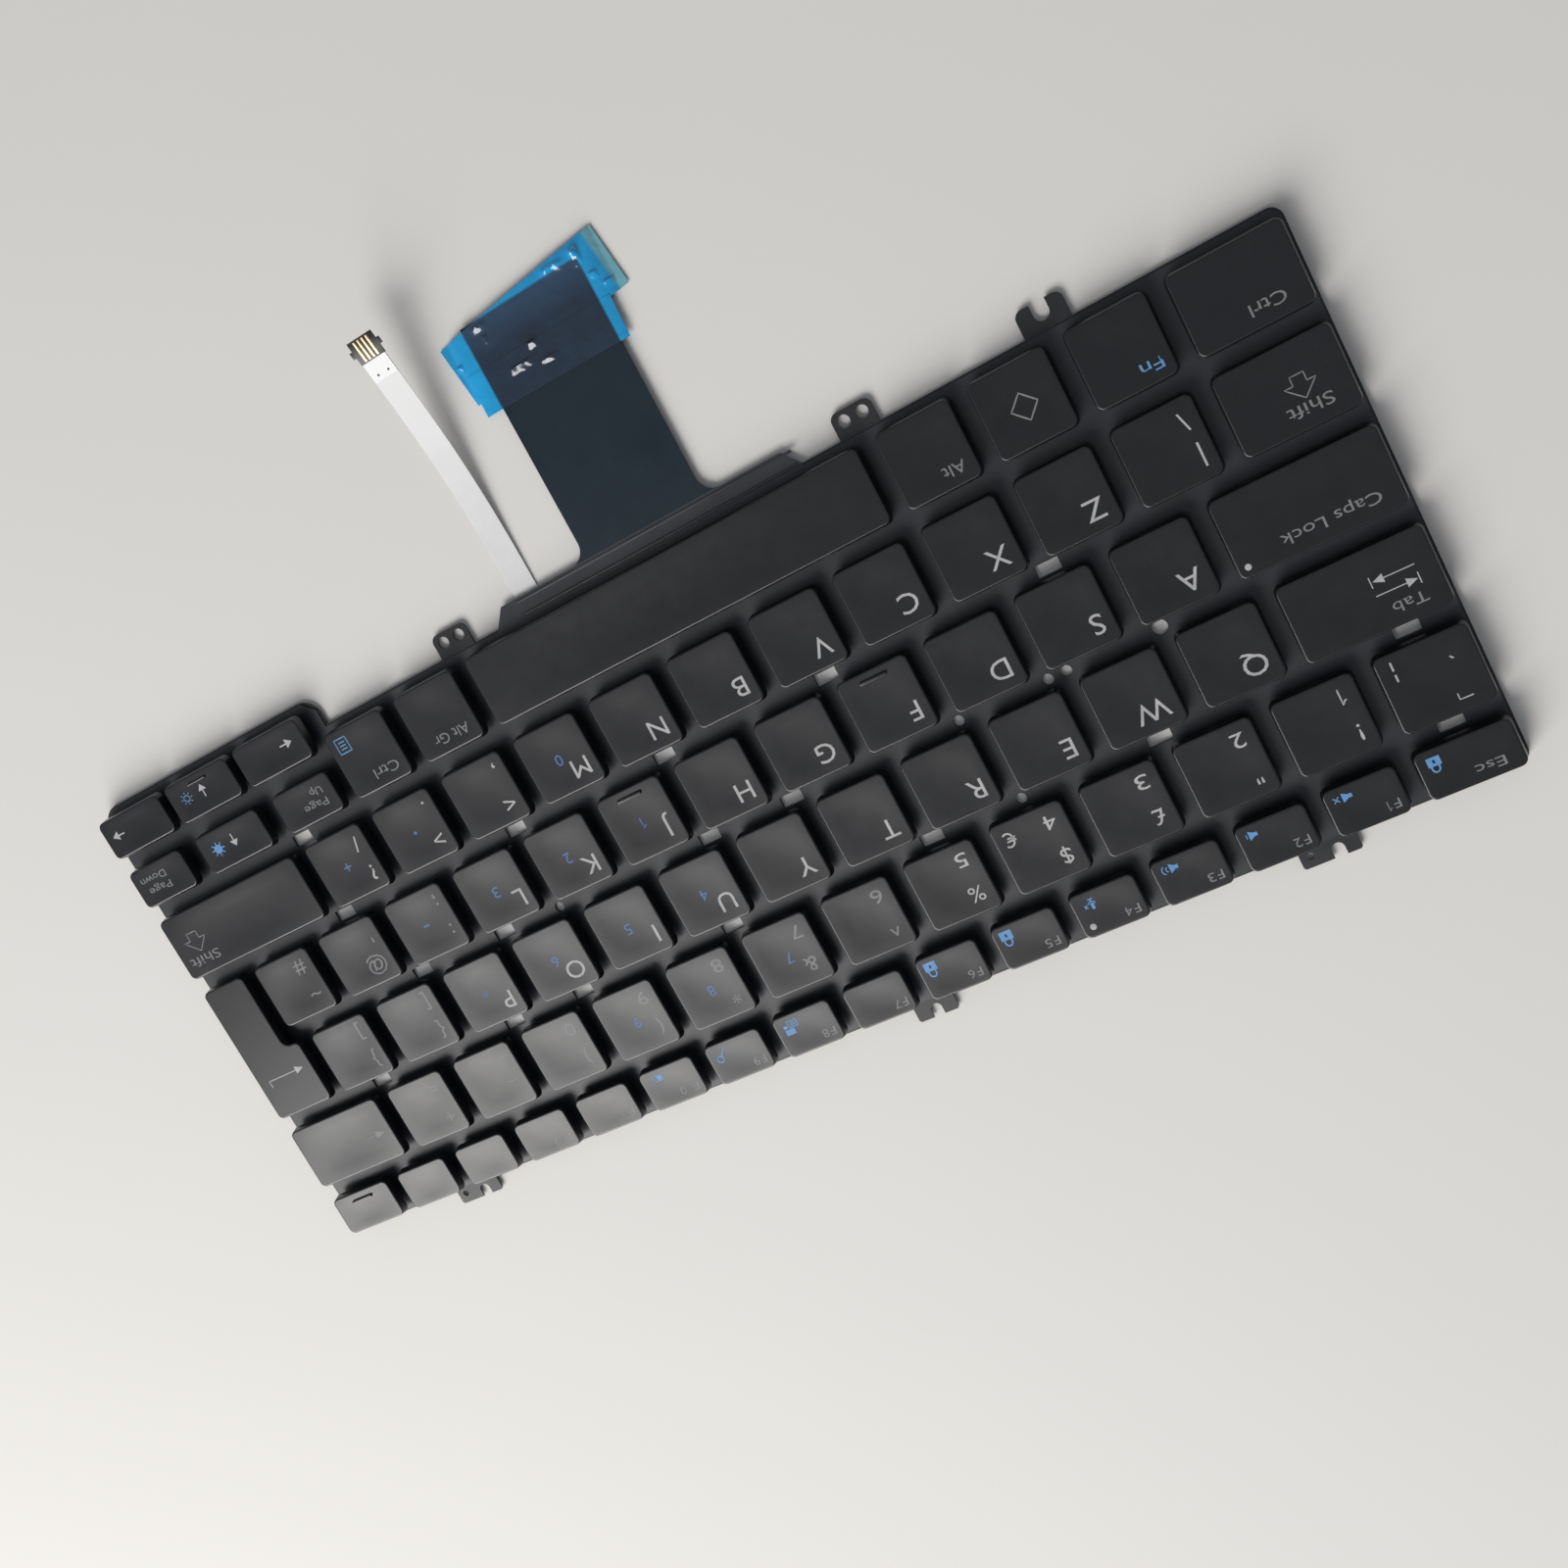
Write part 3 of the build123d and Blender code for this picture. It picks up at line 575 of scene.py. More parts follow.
def fine_scratches():
    """Thin rubbed lines along one slanting direction."""
    if "Fine Scratches" in bpy.data.node_groups:
        return bpy.data.node_groups["Fine Scratches"]
    tree, start, end = new_group("Fine Scratches", [("Vector", "Vector"), ("Scale", "Float")], ["Mask"])
    slant = tree.nodes.new("ShaderNodeMapping")
    slant.inputs["Rotation"].default_value = (0, 0, math.radians(33))
    slant.inputs["Scale"].default_value = (1.0, 22.0, 1.0)
    lines = tree.nodes.new("ShaderNodeTexNoise")
    lines.inputs["Detail"].default_value = 2
    band = tree.nodes.new("ShaderNodeMapRange")
    band.inputs["From Min"].default_value = 0.66
    band.inputs["From Max"].default_value = 0.74
    tree.links.new(start.outputs["Vector"], slant.inputs["Vector"])
    tree.links.new(slant.outputs["Vector"], lines.inputs["Vector"])
    tree.links.new(start.outputs["Scale"], lines.inputs["Scale"])
    tree.links.new(lines.outputs["Fac"], band.inputs["Value"])
    tree.links.new(band.outputs["Result"], end.inputs["Mask"])
    return tree


class Finish:
    """A material under construction: one shader and the nodes that feed it."""

    def __init__(self, name):
        self.material = bpy.data.materials.new(name)
        self.material.use_nodes = True
        self.tree = self.material.node_tree
        self.shader = self.tree.nodes["Principled BSDF"]
        self.place = self.tree.nodes.new("ShaderNodeTexCoord").outputs["Object"]

    def node(self, kind, **values):
        made = self.tree.nodes.new("ShaderNode" + kind)
        for name, value in values.items():
            setattr(made, name, value)
        return made

    def link(self, a, b):
        self.tree.links.new(a, b)

    def effect(self, tree, **values):
        """Place a shared effect, with its own values."""
        made = self.node("Group", node_tree=tree)
        self.link(self.place, made.inputs["Vector"])
        for name, value in values.items():
            made.inputs[name.replace("_", " ").title()].default_value = value
        return made

    def mix(self, factor, a, b, most=1.0):
        """Colour between a and b by a factor that reaches at most this share."""
        limit = self.node("Math", operation="MULTIPLY")
        limit.inputs[1].default_value = most
        self.link(factor, limit.inputs[0])
        made = self.node("Mix", data_type="RGBA")
        self.link(limit.outputs["Value"], made.inputs["Factor"])
        for socket, value in ((made.inputs[6], a), (made.inputs[7], b)):
            if isinstance(value, bpy.types.NodeSocket):
                self.link(value, socket)
            else:
                socket.default_value = (*value, 1)
        return made.outputs[2]

    def span(self, value, low, high, start=0.3, stop=0.7):
        """Value carried from its own range onto another one."""
        made = self.node("MapRange")
        for name, number in (("From Min", start), ("From Max", stop), ("To Min", low), ("To Max", high)):
            made.inputs[name].default_value = number
        self.link(value, made.inputs["Value"])
        return made.outputs["Result"]

    def along(self, axis):
        """Place along one axis."""
        split = self.node("SeparateXYZ")
        self.link(self.place, split.inputs["Vector"])
        return split.outputs[axis]

    def product(self, first, *others):
        """All these values multiplied."""
        for other in others:
            step = self.node("Math", operation="MULTIPLY")
            self.link(first, step.inputs[0])
            self.link(other, step.inputs[1])
            first = step.outputs["Value"]
        return first

    def relief(self, height, strength, distance):
        bump = self.node("Bump")
        bump.inputs["Strength"].default_value = strength
        bump.inputs["Distance"].default_value = distance
        self.link(height, bump.inputs["Height"])
        self.link(bump.outputs["Normal"], self.shader.inputs["Normal"])


def surface(name, tone, variety=0.18, roughness=0.45, rough_spread=0.05, grain=7000.0, cloud=70.0,
            relief=0.10, dust=0.0, scratches=0.0, metallic=0.0, specular=0.5):
    """A moulded, coated or filmed surface: clouded tone, fine grain, dust and rubbed lines."""
    if name in bpy.data.materials:
        return bpy.data.materials[name]
    made = Finish(name)
    field = made.effect(moulded_grain(), grain_scale=grain, cloud_scale=cloud)
    dark = [channel * (1 - variety) for channel in tone]
    light = [min(channel * (1 + variety), 1) for channel in tone]
    look = made.mix(made.span(field.outputs["Cloud"], 0, 1), dark, light)
    rough = made.span(field.outputs["Cloud"], roughness - rough_spread, roughness + rough_spread)
    if dust:
        specks = made.effect(settled_dust(), scale=900.0, size=0.16)
        look = made.mix(specks.outputs["Mask"], look, (0.34, 0.33, 0.31), dust)
    if scratches:
        lines = made.effect(fine_scratches(), scale=180.0)
        look = made.mix(lines.outputs["Mask"], look, [min(channel * 2.6 + 0.01, 1) for channel in tone],
                        scratches)
    made.link(look, made.shader.inputs["Base Color"])
    made.link(rough, made.shader.inputs["Roughness"])
    made.shader.inputs["Metallic"].default_value = metallic
    made.shader.inputs["Specular IOR Level"].default_value = specular
    made.relief(field.outputs["Grain"], relief, 0.00004)
    return made.material


def cap_plastic():
    caps = settings("caps")
    return surface("cap_plastic", caps.colour, variety=0.12, roughness=caps.roughness, rough_spread=0.014,
                   grain=2600.0, cloud=240.0, relief=0.09, dust=0.06, scratches=0.18, specular=0.66)


def legend_print(which):
    tone = getattr(settings("legends"), which)
    return surface("legend_" + which, tone, variety=0.14, roughness=0.42, grain=6000.0, cloud=400.0,
                   relief=0.05, specular=0.35)


# Lighter than the tail's tone: partly the film's own colour, partly painted light that lifts the shade in
# the gaps between the caps.
def black_film():
    return surface("black_film", settings("layers").film, variety=0.16, roughness=0.40, rough_spread=0.04,
                   grain=3000.0, cloud=60.0, relief=0.10, dust=0.10, scratches=0.10, specular=0.66)


def tail_film():
    return surface("tail_film", settings("layers").tail, variety=0.12, roughness=0.40, rough_spread=0.04,
                   grain=3000.0, cloud=60.0, relief=0.10, dust=0.06, scratches=0.05, specular=0.45)


def coated_steel():
    return surface("coated_steel", settings("layers").coat, variety=0.14, roughness=0.40,
                   grain=6000.0, cloud=120.0, relief=0.18, dust=0.12, scratches=0.10)


def white_panel():
    return surface("white_panel", settings("layers").panel, variety=0.05, roughness=0.5, grain=2500.0,
                   cloud=150.0, relief=0.05)


def link_plastic():
    return surface("link_plastic", settings("links").link, variety=0.15, roughness=0.32, grain=4000.0,
                   cloud=300.0, relief=0.06)


def dome_rubber():
    return surface("dome_rubber", settings("links").rubber, variety=0.08, roughness=0.62, grain=5000.0,
                   cloud=500.0, relief=0.12)


def drawn_steel():
    return surface("drawn_steel", settings("links").steel, variety=0.10, roughness=0.28, grain=6000.0,
                   cloud=900.0, relief=0.08, metallic=1.0)


def end_plastic():
    return surface("end_plastic", settings("cable").end_colour, variety=0.2, roughness=0.38, grain=6000.0,
                   cloud=700.0, relief=0.08, dust=0.1)


def gold_contact():
    return surface("gold_contact", settings("cable").gold, variety=0.16, roughness=0.30, grain=9000.0,
                   cloud=1500.0, relief=0.06, scratches=0.2, metallic=1.0)


def stiff_film():
    return surface("stiff_film", [min(c * 1.12, 0.86) for c in settings("cable").colour], variety=0.03,
                   roughness=0.34, grain=4000.0, cloud=500.0, relief=0.04)


def ribbon_film():
    """White film with its flat conductors showing through as faint lines."""
    if "ribbon_film" in bpy.data.materials:
        return bpy.data.materials["ribbon_film"]
    tone = settings("cable").colour
    made = Finish("ribbon_film")
    field = made.effect(moulded_grain(), grain_scale=4000.0, cloud_scale=220.0)
    lanes = made.node("TexWave", wave_type="BANDS", bands_direction="X")
    lanes.inputs["Scale"].default_value = 220.0
    lanes.inputs["Distortion"].default_value = 0.0
    made.link(made.place, lanes.inputs["Vector"])
    look = made.mix(made.span(field.outputs["Cloud"], 0, 1), [c * 0.95 for c in tone], tone)
    look = made.mix(made.span(lanes.outputs["Fac"], 0, 1, 0.55, 0.9), look, [c * 0.9 for c in tone], 0.12)
    made.link(look, made.shader.inputs["Base Color"])
    made.link(made.span(field.outputs["Cloud"], 0.36, 0.46), made.shader.inputs["Roughness"])
    made.relief(lanes.outputs["Fac"], 0.03, 0.00003)
    return made.material


def blue_tape():
    """Thin clear blue film: glossy, bright over the pale floor and nearly black where the tail lies
    under it."""
    if "blue_tape" in bpy.data.materials:
        return bpy.data.materials["blue_tape"]
    tape = settings("tape")
    made = Finish("blue_tape")
    field = made.effect(moulded_grain(), grain_scale=900.0, cloud_scale=180.0)
    x, y, soft = made.along("X"), made.along("Y"), 0.00025
    over_tail = made.product(
        made.span(x, 0, 1, TAIL_LEFT - soft, TAIL_LEFT + soft),
        made.span(x, 1, 0, TAIL_RIGHT - soft, TAIL_RIGHT + soft),
        made.span(y, 0, 1, TAIL_END - soft, TAIL_END + soft))
    clouds = made.span(field.outputs["Cloud"], 0, 1)
    bright = made.mix(clouds, [channel * 0.8 for channel in tape.colour], tape.colour)
    deep = made.mix(clouds, [channel * 0.7 for channel in tape.on_tail], [c * 1.2 for c in tape.on_tail])
    near_end = made.span(y, 1, 0, TAIL_END + 0.001, TAIL_END + 0.007)
    deep = made.mix(near_end, deep, [channel * 2.3 for channel in tape.on_tail])
    along = made.node("VectorMath", operation="DOT_PRODUCT")
    made.link(made.place, along.inputs[0])
    along.inputs[1].default_value = (math.cos(OUTER_TURN), math.sin(OUTER_TURN), 0)
    fringe = made.span(along.outputs["Value"], 1, 0, FRINGE_START - 0.0003, FRINGE_START + 0.0003)
    bright = made.mix(fringe, bright, tape.fringe)
    made.link(made.mix(over_tail, bright, deep), made.shader.inputs["Base Color"])
    made.link(made.span(field.outputs["Cloud"], 0.08, 0.17), made.shader.inputs["Roughness"])
    made.shader.inputs["Alpha"].default_value = tape.cover
    made.shader.inputs["Specular IOR Level"].default_value = 1.0
    made.relief(field.outputs["Grain"], 0.12, 0.0002)
    return made.material


def floor_paper():
    """Smooth pale paper with the faintest unevenness."""
    tone = settings("stage").floor
    made = Finish("floor_paper")
    field = made.effect(moulded_grain(), grain_scale=1500.0, cloud_scale=5.0)
    look = made.mix(made.span(field.outputs["Cloud"], 0, 1), [c * 0.985 for c in tone], tone)
    made.link(look, made.shader.inputs["Base Color"])
    made.link(made.span(field.outputs["Grain"], 0.62, 0.72), made.shader.inputs["Roughness"])
    made.shader.inputs["Specular IOR Level"].default_value = 0.25
    made.relief(field.outputs["Cloud"], 0.10, 0.002)
    return made.material


def dress(node, material):
    """Give a CAD node a material of this scene in all its slots."""
    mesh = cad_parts[node].data
    if not mesh.materials:
        mesh.materials.append(material)
    for index in range(len(mesh.materials)):
        mesh.materials[index] = material


def dish_top(half_x, half_y, deep):
    """Cut the selected top face into cells and sink them into one smooth dish."""
    mesh = bpy.context.edit_object.data
    work = bmesh.from_edit_mesh(mesh)
    for face in work.faces:
        face.material_index = int(face.select)
    bmesh.update_edit_mesh(mesh)
    for half, axis in ((half_x, Vector((1, 0, 0))), (half_y, Vector((0, 1, 0)))):
        cells = max(6, round(2 * half / DISH_CELL))
        for step in range(1, cells):
            choose("FACE", lambda f: f.material_index == 1)
            bpy.ops.mesh.bisect(plane_co=axis * half * (2 * step / cells - 1), plane_no=axis)
    work = bmesh.from_edit_mesh(mesh)
    for vert in {v for face in work.faces if face.material_index == 1 for v in face.verts}:
        across, along = vert.co.x / half_x, vert.co.y / half_y
        vert.co.z -= deep * max(0, 1 - across * across) * max(0, 1 - along * along)
    for face in work.faces:
        face.material_index = 0
    bmesh.update_edit_mesh(mesh)


def shape_cap(name, width, depth, low_z, high_z, notch=None):
    """A hollow cap with round corners and a dished top, standing about the origin. A notch, as its
    corner's place, takes the front left part away."""
    caps = settings("caps")
    width, depth, low_z, high_z = (value / MM for value in (width, depth, low_z, high_z))
    cap = start_plane(name, width, depth, low_z)
    if notch:
        x, y = (value / MM for value in notch)
        for at, normal in (((x, 0, low_z), (1, 0, 0)), ((0, y, low_z), (0, 1, 0))):
            bpy.ops.mesh.select_all(action="SELECT")
            bpy.ops.mesh.bisect(plane_co=at, plane_no=normal)
        choose("FACE", lambda f: f.calc_center_median().x < x and f.calc_center_median().y < y)
        bpy.ops.mesh.delete(type="FACE")
        bpy.ops.mesh.select_all(action="SELECT")
        bpy.ops.mesh.dissolve_limited(angle_limit=math.radians(1))
    choose("VERT", lambda v: True)
    bpy.ops.mesh.bevel(offset=caps.corner_radius / MM, segments=5, affect="VERTICES")
    choose("FACE", lambda f: True)
    bpy.ops.mesh.inset(thickness=caps.draft / MM, depth=high_z - low_z)
    middle_z = (low_z + high_z) / 2
    choose("EDGE", lambda e: all(v.co.z > middle_z for v in e.verts))
    bpy.ops.mesh.bevel(offset=caps.edge_radius / MM, segments=3, affect="EDGES")
    choose("FACE", lambda f: all(v.co.z > high_z - NEAR for v in f.verts) and len(f.verts) > 8)
    bpy.ops.mesh.inset(thickness=caps.land / MM)
    if not notch:
        land = (caps.draft + caps.edge_radius + caps.land) / MM
        dish_top(width / 2 - land, depth / 2 - land, caps.dish_depth / MM * min(width, depth) / FULL_CAP)
    choose("EDGE", lambda e: e.is_boundary)
    bpy.ops.mesh.edge_face_add()
    bpy.ops.mesh.select_all(action="SELECT")
    bpy.ops.mesh.normals_make_consistent(inside=False)
    choose("FACE", lambda f: all(v.co.z < low_z + NEAR for v in f.verts))
    bpy.ops.mesh.inset(thickness=caps.wall / MM)
    bpy.ops.mesh.extrude_region_move(TRANSFORM_OT_translate={"value": (0, 0, caps.pocket / MM)})
    leave_edit()
    return place_piece(cap, cap_plastic())


class CapStore:
    """Masters of the caps, one for each size."""

    def __init__(self):
        self.masters = {}

    def copy(self, low, high, name):
        size = (round(high.x - low.x, 5), round(high.y - low.y, 5))
        if size not in self.masters:
            self.masters[size] = shape_cap("cap_master", *size, low.z, high.z)
        return copy_of(self.masters[size], name, ((low.x + high.x) / 2, (low.y + high.y) / 2, 0))

    def clear(self):
        for master in self.masters.values():
            bpy.data.objects.remove(master)


def text_mesh(text, size, material):
    """Print of one text on its baseline, by its size in millimetres."""
    bpy.ops.object.select_all(action="DESELECT")
    bpy.ops.object.text_add()
    mark = bpy.context.object
    mark.data.body = text
    mark.data.size = size
    mark.data.extrude = settings("legends").thickness / MM
    mark.data.resolution_u = 3
    bpy.ops.object.convert(target="MESH")
    return place_piece(bpy.context.object, material)


def close_points(points, closed, gap=1.2):
    """The same outline with points no further apart than the gap."""
    ends = points[1:] + points[:1] if closed else points[1:]
    found = []
    for (ax, ay), (bx, by) in zip(points, ends):
        steps = max(1, math.ceil(math.dist((ax, ay), (bx, by)) / gap))
        found += [(ax + (bx - ax) * i / steps, ay + (by - ay) * i / steps) for i in range(steps)]
    return found if closed else found + points[-1:]


def drawn_sign(name, width, height, material):
    """A sign drawn in a box about the origin, by pen lines and filled outlines, in millimetres."""
    pen, lines, fills = DRAWN_SIGNS[name]
    thick = settings("legends").thickness / MM
    parts = []
    for outlines, filled in ((lines, False), (fills, True)):
        if not outlines:
            continue
        curve = bpy.data.curves.new(name, "CURVE")
        if filled:
            curve.dimensions = "2D"
            curve.fill_mode = "BOTH"
            curve.extrude = thick
        else:
            curve.dimensions = "3D"
            curve.bevel_depth = pen * height / 2
            curve.bevel_resolution = 1
            curve.use_fill_caps = True
        for outline in outlines:
            closed = filled or outline[0] == outline[-1]
            points = [((x - 0.5) * width, (y - 0.5) * height) for x, y in outline]
            points = close_points(points[:-1] if points[0] == points[-1] else points, closed)
            spline = curve.splines.new("POLY")
            spline.points.add(len(points) - 1)
            for point, (x, y) in zip(spline.points, points):
                point.co = (x, y, 0, 1)
            spline.use_cyclic_u = closed
        part = bpy.data.objects.new(name, curve)
        bpy.context.collection.objects.link(part)
        take(part)
        bpy.ops.object.convert(target="MESH")
        if not filled:
            part.data.transform(Matrix.Diagonal((1, 1, thick / (pen * height / 2), 1)))
        parts.append(part)
    return place_piece(join(parts, name), material)


def reach_of(mesh):
    xs = [v.co.x for v in mesh.vertices]
    ys = [v.co.y for v in mesh.vertices]
    return min(xs), max(xs), min(ys), max(ys)


def lay_on(mark, surface_tree):
    """Let a flat mark follow the dished top under it."""
    for vert in mark.data.vertices:
        hit = surface_tree.ray_cast(Vector((vert.co.x, vert.co.y, SIGHT_Z)), Vector((0, 0, -1)))[0]
        if hit is None:
            raise RuntimeError(f"a legend reaches past its cap at {vert.co}")
        vert.co.z += hit.z


def raised_slab(name, width, depth, height, corner, edge):
    """A low slab with rounded corners and upper edges, in millimetres."""
    slab = start_plane(name, width, depth)
    if corner:
        choose("VERT", lambda v: True)
        bpy.ops.mesh.bevel(offset=corner, segments=3, affect="VERTICES")
    choose("FACE", lambda f: True)
    bpy.ops.mesh.extrude_region_move(TRANSFORM_OT_translate={"value": (0, 0, height)})
    choose("EDGE", lambda e: all(v.co.z > height / 2 for v in e.verts))
    bpy.ops.mesh.bevel(offset=edge, segments=3, affect="EDGES")
    bpy.ops.mesh.select_all(action="SELECT")
    bpy.ops.mesh.normals_make_consistent(inside=False)
    leave_edit(45)
    return slab


def lamp_dot(radius):
    """A small round window, slightly domed, in millimetres."""
    bpy.ops.object.select_all(action="DESELECT")
    bpy.ops.mesh.primitive_circle_add(vertices=20, radius=radius, fill_type="NGON")
    dot = bpy.context.object
    bpy.ops.object.mode_set(mode="EDIT")
    bpy.ops.mesh.select_all(action="SELECT")
    bpy.ops.mesh.extrude_region_move(TRANSFORM_OT_translate={"value": (0, 0, 0.03)})
    bpy.ops.mesh.inset(thickness=radius * 0.3, depth=0.03)
    bpy.ops.mesh.select_all(action="SELECT")
    bpy.ops.mesh.normals_make_consistent(inside=False)
    leave_edit(60)
    return dot


def mark_cap(cap, low, high, marks):
    """Put legends, bars and lamp dots on one cap, and return all its parts."""
    draft = settings("caps").draft
    left, right, back, front = low.x + draft, high.x - draft, high.y - draft, low.y + draft
    top = BVHTree.FromPolygons(
        [v.co for v in cap.data.vertices], [list(p.vertices) for p in cap.data.polygons])
    parts = [cap]
    for kind, *rest in marks:
        if kind in ("line", "right"):
            text, height, x, y, ink, *wide = rest
            mark = text_mesh(text, height / CAPITAL_SHARE, legend_print(ink))
            low_x, high_x = reach_of(mark.data)[:2]
            stretch = wide[0] * MM / (high_x - low_x) if wide else PRINT_STRETCH
            if kind == "line":
                start = left + x * MM - low_x * stretch
            else:
                start = right - x * MM - high_x * stretch
            mark.data.transform(Matrix.Translation((start, back - (y + height) * MM, 0))
                                @ Matrix.Diagonal((stretch, 1, 1, 1)))
            lay_on(mark, top)
        elif kind == "drawn":
            sign, x, y, width, height, ink = rest
            mark = drawn_sign(sign, width, height, legend_print(ink))
            at = (left if x > 0 else right) + x * MM
            mark.data.transform(Matrix.Translation((at, back - y * MM, 0)))
            lay_on(mark, top)
        elif kind == "sign":
            text, x, y, width, height, ink = rest
            mark = text_mesh(text, 4.0, legend_print(ink))
            low_x, high_x, low_y, high_y = reach_of(mark.data)
            fit = Matrix.Diagonal((width * MM / (high_x - low_x), height * MM / (high_y - low_y), 1, 1))
            centre = Matrix.Translation((-(low_x + high_x) / 2, -(low_y + high_y) / 2, 0))
            at = (left if x > 0 else right) + x * MM
            mark.data.transform(Matrix.Translation((at, back - y * MM, 0)) @ fit @ centre)
            lay_on(mark, top)
        elif kind == "dot":
            x, y, radius, ink = rest
            place = Matrix.Translation((right + x * MM, back - y * MM, 0))
            mark = place_piece(lamp_dot(radius), legend_print(ink), place)
            lay_on(mark, top)
        else:
            x, y, width, depth = rest
            at_x = (left + right) / 2 + x * MM
            at_y = front + y * MM
            hit = top.ray_cast(Vector((at_x, at_y, SIGHT_Z)), Vector((0, 0, -1)))[0]
            bar_height = settings("caps").bar_height / MM
            mark = raised_slab("feel_bar", width, depth, bar_height, depth * 0.45, bar_height * 0.25)
            place_piece(mark, cap_plastic(), Matrix.Translation((at_x, at_y, hit.z - 0.00008)))
        parts.append(mark)
    return parts


def letter_marks(node):
    """Legends of a key that moves by itself."""
    legends = settings("legends")
    marks = list(WORD_LEGENDS.get(node, []))
    letter = node[len("key_"):]
    height, x, y = (value / MM for value in (
        legends.letter_height, legends.letter_left, legends.letter_top))
    if len(letter) == 1:
        marks.append(("line", letter.upper(), height, x, y, "pale"))
    if node in SIGN_PAIRS:
        upper, lower = SIGN_PAIRS[node]
        ink = "grey" if node in SHEEN_DIMMED_SIGNS else "pale"
        marks.append(("line", upper, height - 0.5, x + 0.1, y, ink))
        marks.append(("line", lower, height - 0.5, x + 0.1, y + LOWER_SIGN, ink))
    if node in KEYPAD_SIGNS:
        sign = KEYPAD_SIGNS[node]
        if sign == "1":
            marks.append(("drawn", "one", *KEYPAD_PLACE, 1.0, 2.4, "faint_blue"))
        else:
            size = KEYPAD_SIZES.get(sign, KEYPAD_DIGIT)
            marks.append(("sign", sign, *KEYPAD_PLACE, *size, "faint_blue"))
    return marks + HOME_BARS.get(node, [])


def digit_mark(digit, height, x, y, ink, width):
    """One digit of a set width; the figure one is drawn, with its flag."""
    if digit == "1":
        return ("drawn", "one", x + width * 0.3, y + height / 2, width * 0.5, height, ink)
    return ("line", digit, height, x, y, ink, width)


def function_marks(index):
    """Legends of a function key, its name set letter by letter."""
    marks = []
    if index in NAMED_FUNCTIONS:
        marks.append(("line", "F", FUNCTION_HEIGHT, 1.4, FUNCTION_TOP, "grey", 1.2))
        for place, digit in enumerate(str(index)):
            marks.append(digit_mark(digit, FUNCTION_HEIGHT, 3.05 + FUNCTION_STEP * place, FUNCTION_TOP,
                                    "grey", 1.35))
    return marks + FUNCTION_SIGNS.get(index, [])


def number_marks(index):
    """Legends of a key of the number row."""
    upper, lower = NUMBER_SIGNS[index]
    if upper == "¬":
        marks = [("drawn", "corner", 4.9, 3.0, 2.5, 1.3, "pale"), ("line", lower, 3.1, 4.0, 9.6, "pale")]
    else:
        ink = "pale" if index < FIRST_SHEEN_DIMMED_NUMBER else "grey"
        marks = [("line", upper, 3.3, 2.4, 2.3, ink)]
        marks.append(digit_mark(lower, 3.1, 2.3, 9.9, ink, 2.5) if lower.isdigit()
                     else ("line", lower, 3.1, 2.4, 9.9, ink))
    return marks + NUMBER_EXTRAS.get(index, [])


class KEYBOARD_OT_stage(bpy.types.Operator):
    """Set the floor, the window light, the room's light and the camera"""
    bl_idname = "keyboard.stage"
    bl_label = "Stage"

    def execute(self, context):
        stage = settings("stage")
        scene = context.scene
        scene.view_settings.view_transform = "Standard"
        floor = start_plane("floor", 6000.0, 6000.0, -0.1)
        bpy.ops.mesh.subdivide(number_cuts=3)
        leave_edit()
        place_piece(floor, floor_paper())
        world = scene.world or bpy.data.worlds.new("room")
        scene.world = world
        world.use_nodes = True
        room = world.node_tree.nodes["Background"]
        room.inputs["Color"].default_value = ROOM_TONE
        room.inputs["Strength"].default_value = stage.sky
        lamp = bpy.data.lights.new("window", "AREA")
        lamp.shape = "RECTANGLE"
        lamp.size, lamp.size_y = stage.window_width, stage.window_height
        lamp.energy = stage.window
        lamp.color = WINDOW_TONE
        window = bpy.data.objects.new("window", lamp)
        scene.collection.objects.link(window)
        level = math.cos(stage.window_rise)
        towards = Vector((level * math.cos(stage.window_turn), level * math.sin(stage.window_turn),
                          math.sin(stage.window_rise)))
        window.location = towards * stage.window_distance
        window.rotation_euler = towards.to_track_quat("Z", "Y").to_euler()
        lens = bpy.data.cameras.new("camera")
        lens.sensor_width = CAMERA_SENSOR
        lens.lens = CAMERA_LENS
        lens.clip_start = 0.005
        lens.clip_end = 50.0
        camera = bpy.data.objects.new("camera", lens)
        scene.collection.objects.link(camera)
        camera.location = CAMERA_PLACE
        camera.rotation_euler = [math.radians(turn) for turn in CAMERA_TURN]
        scene.camera = camera
        return {"FINISHED"}


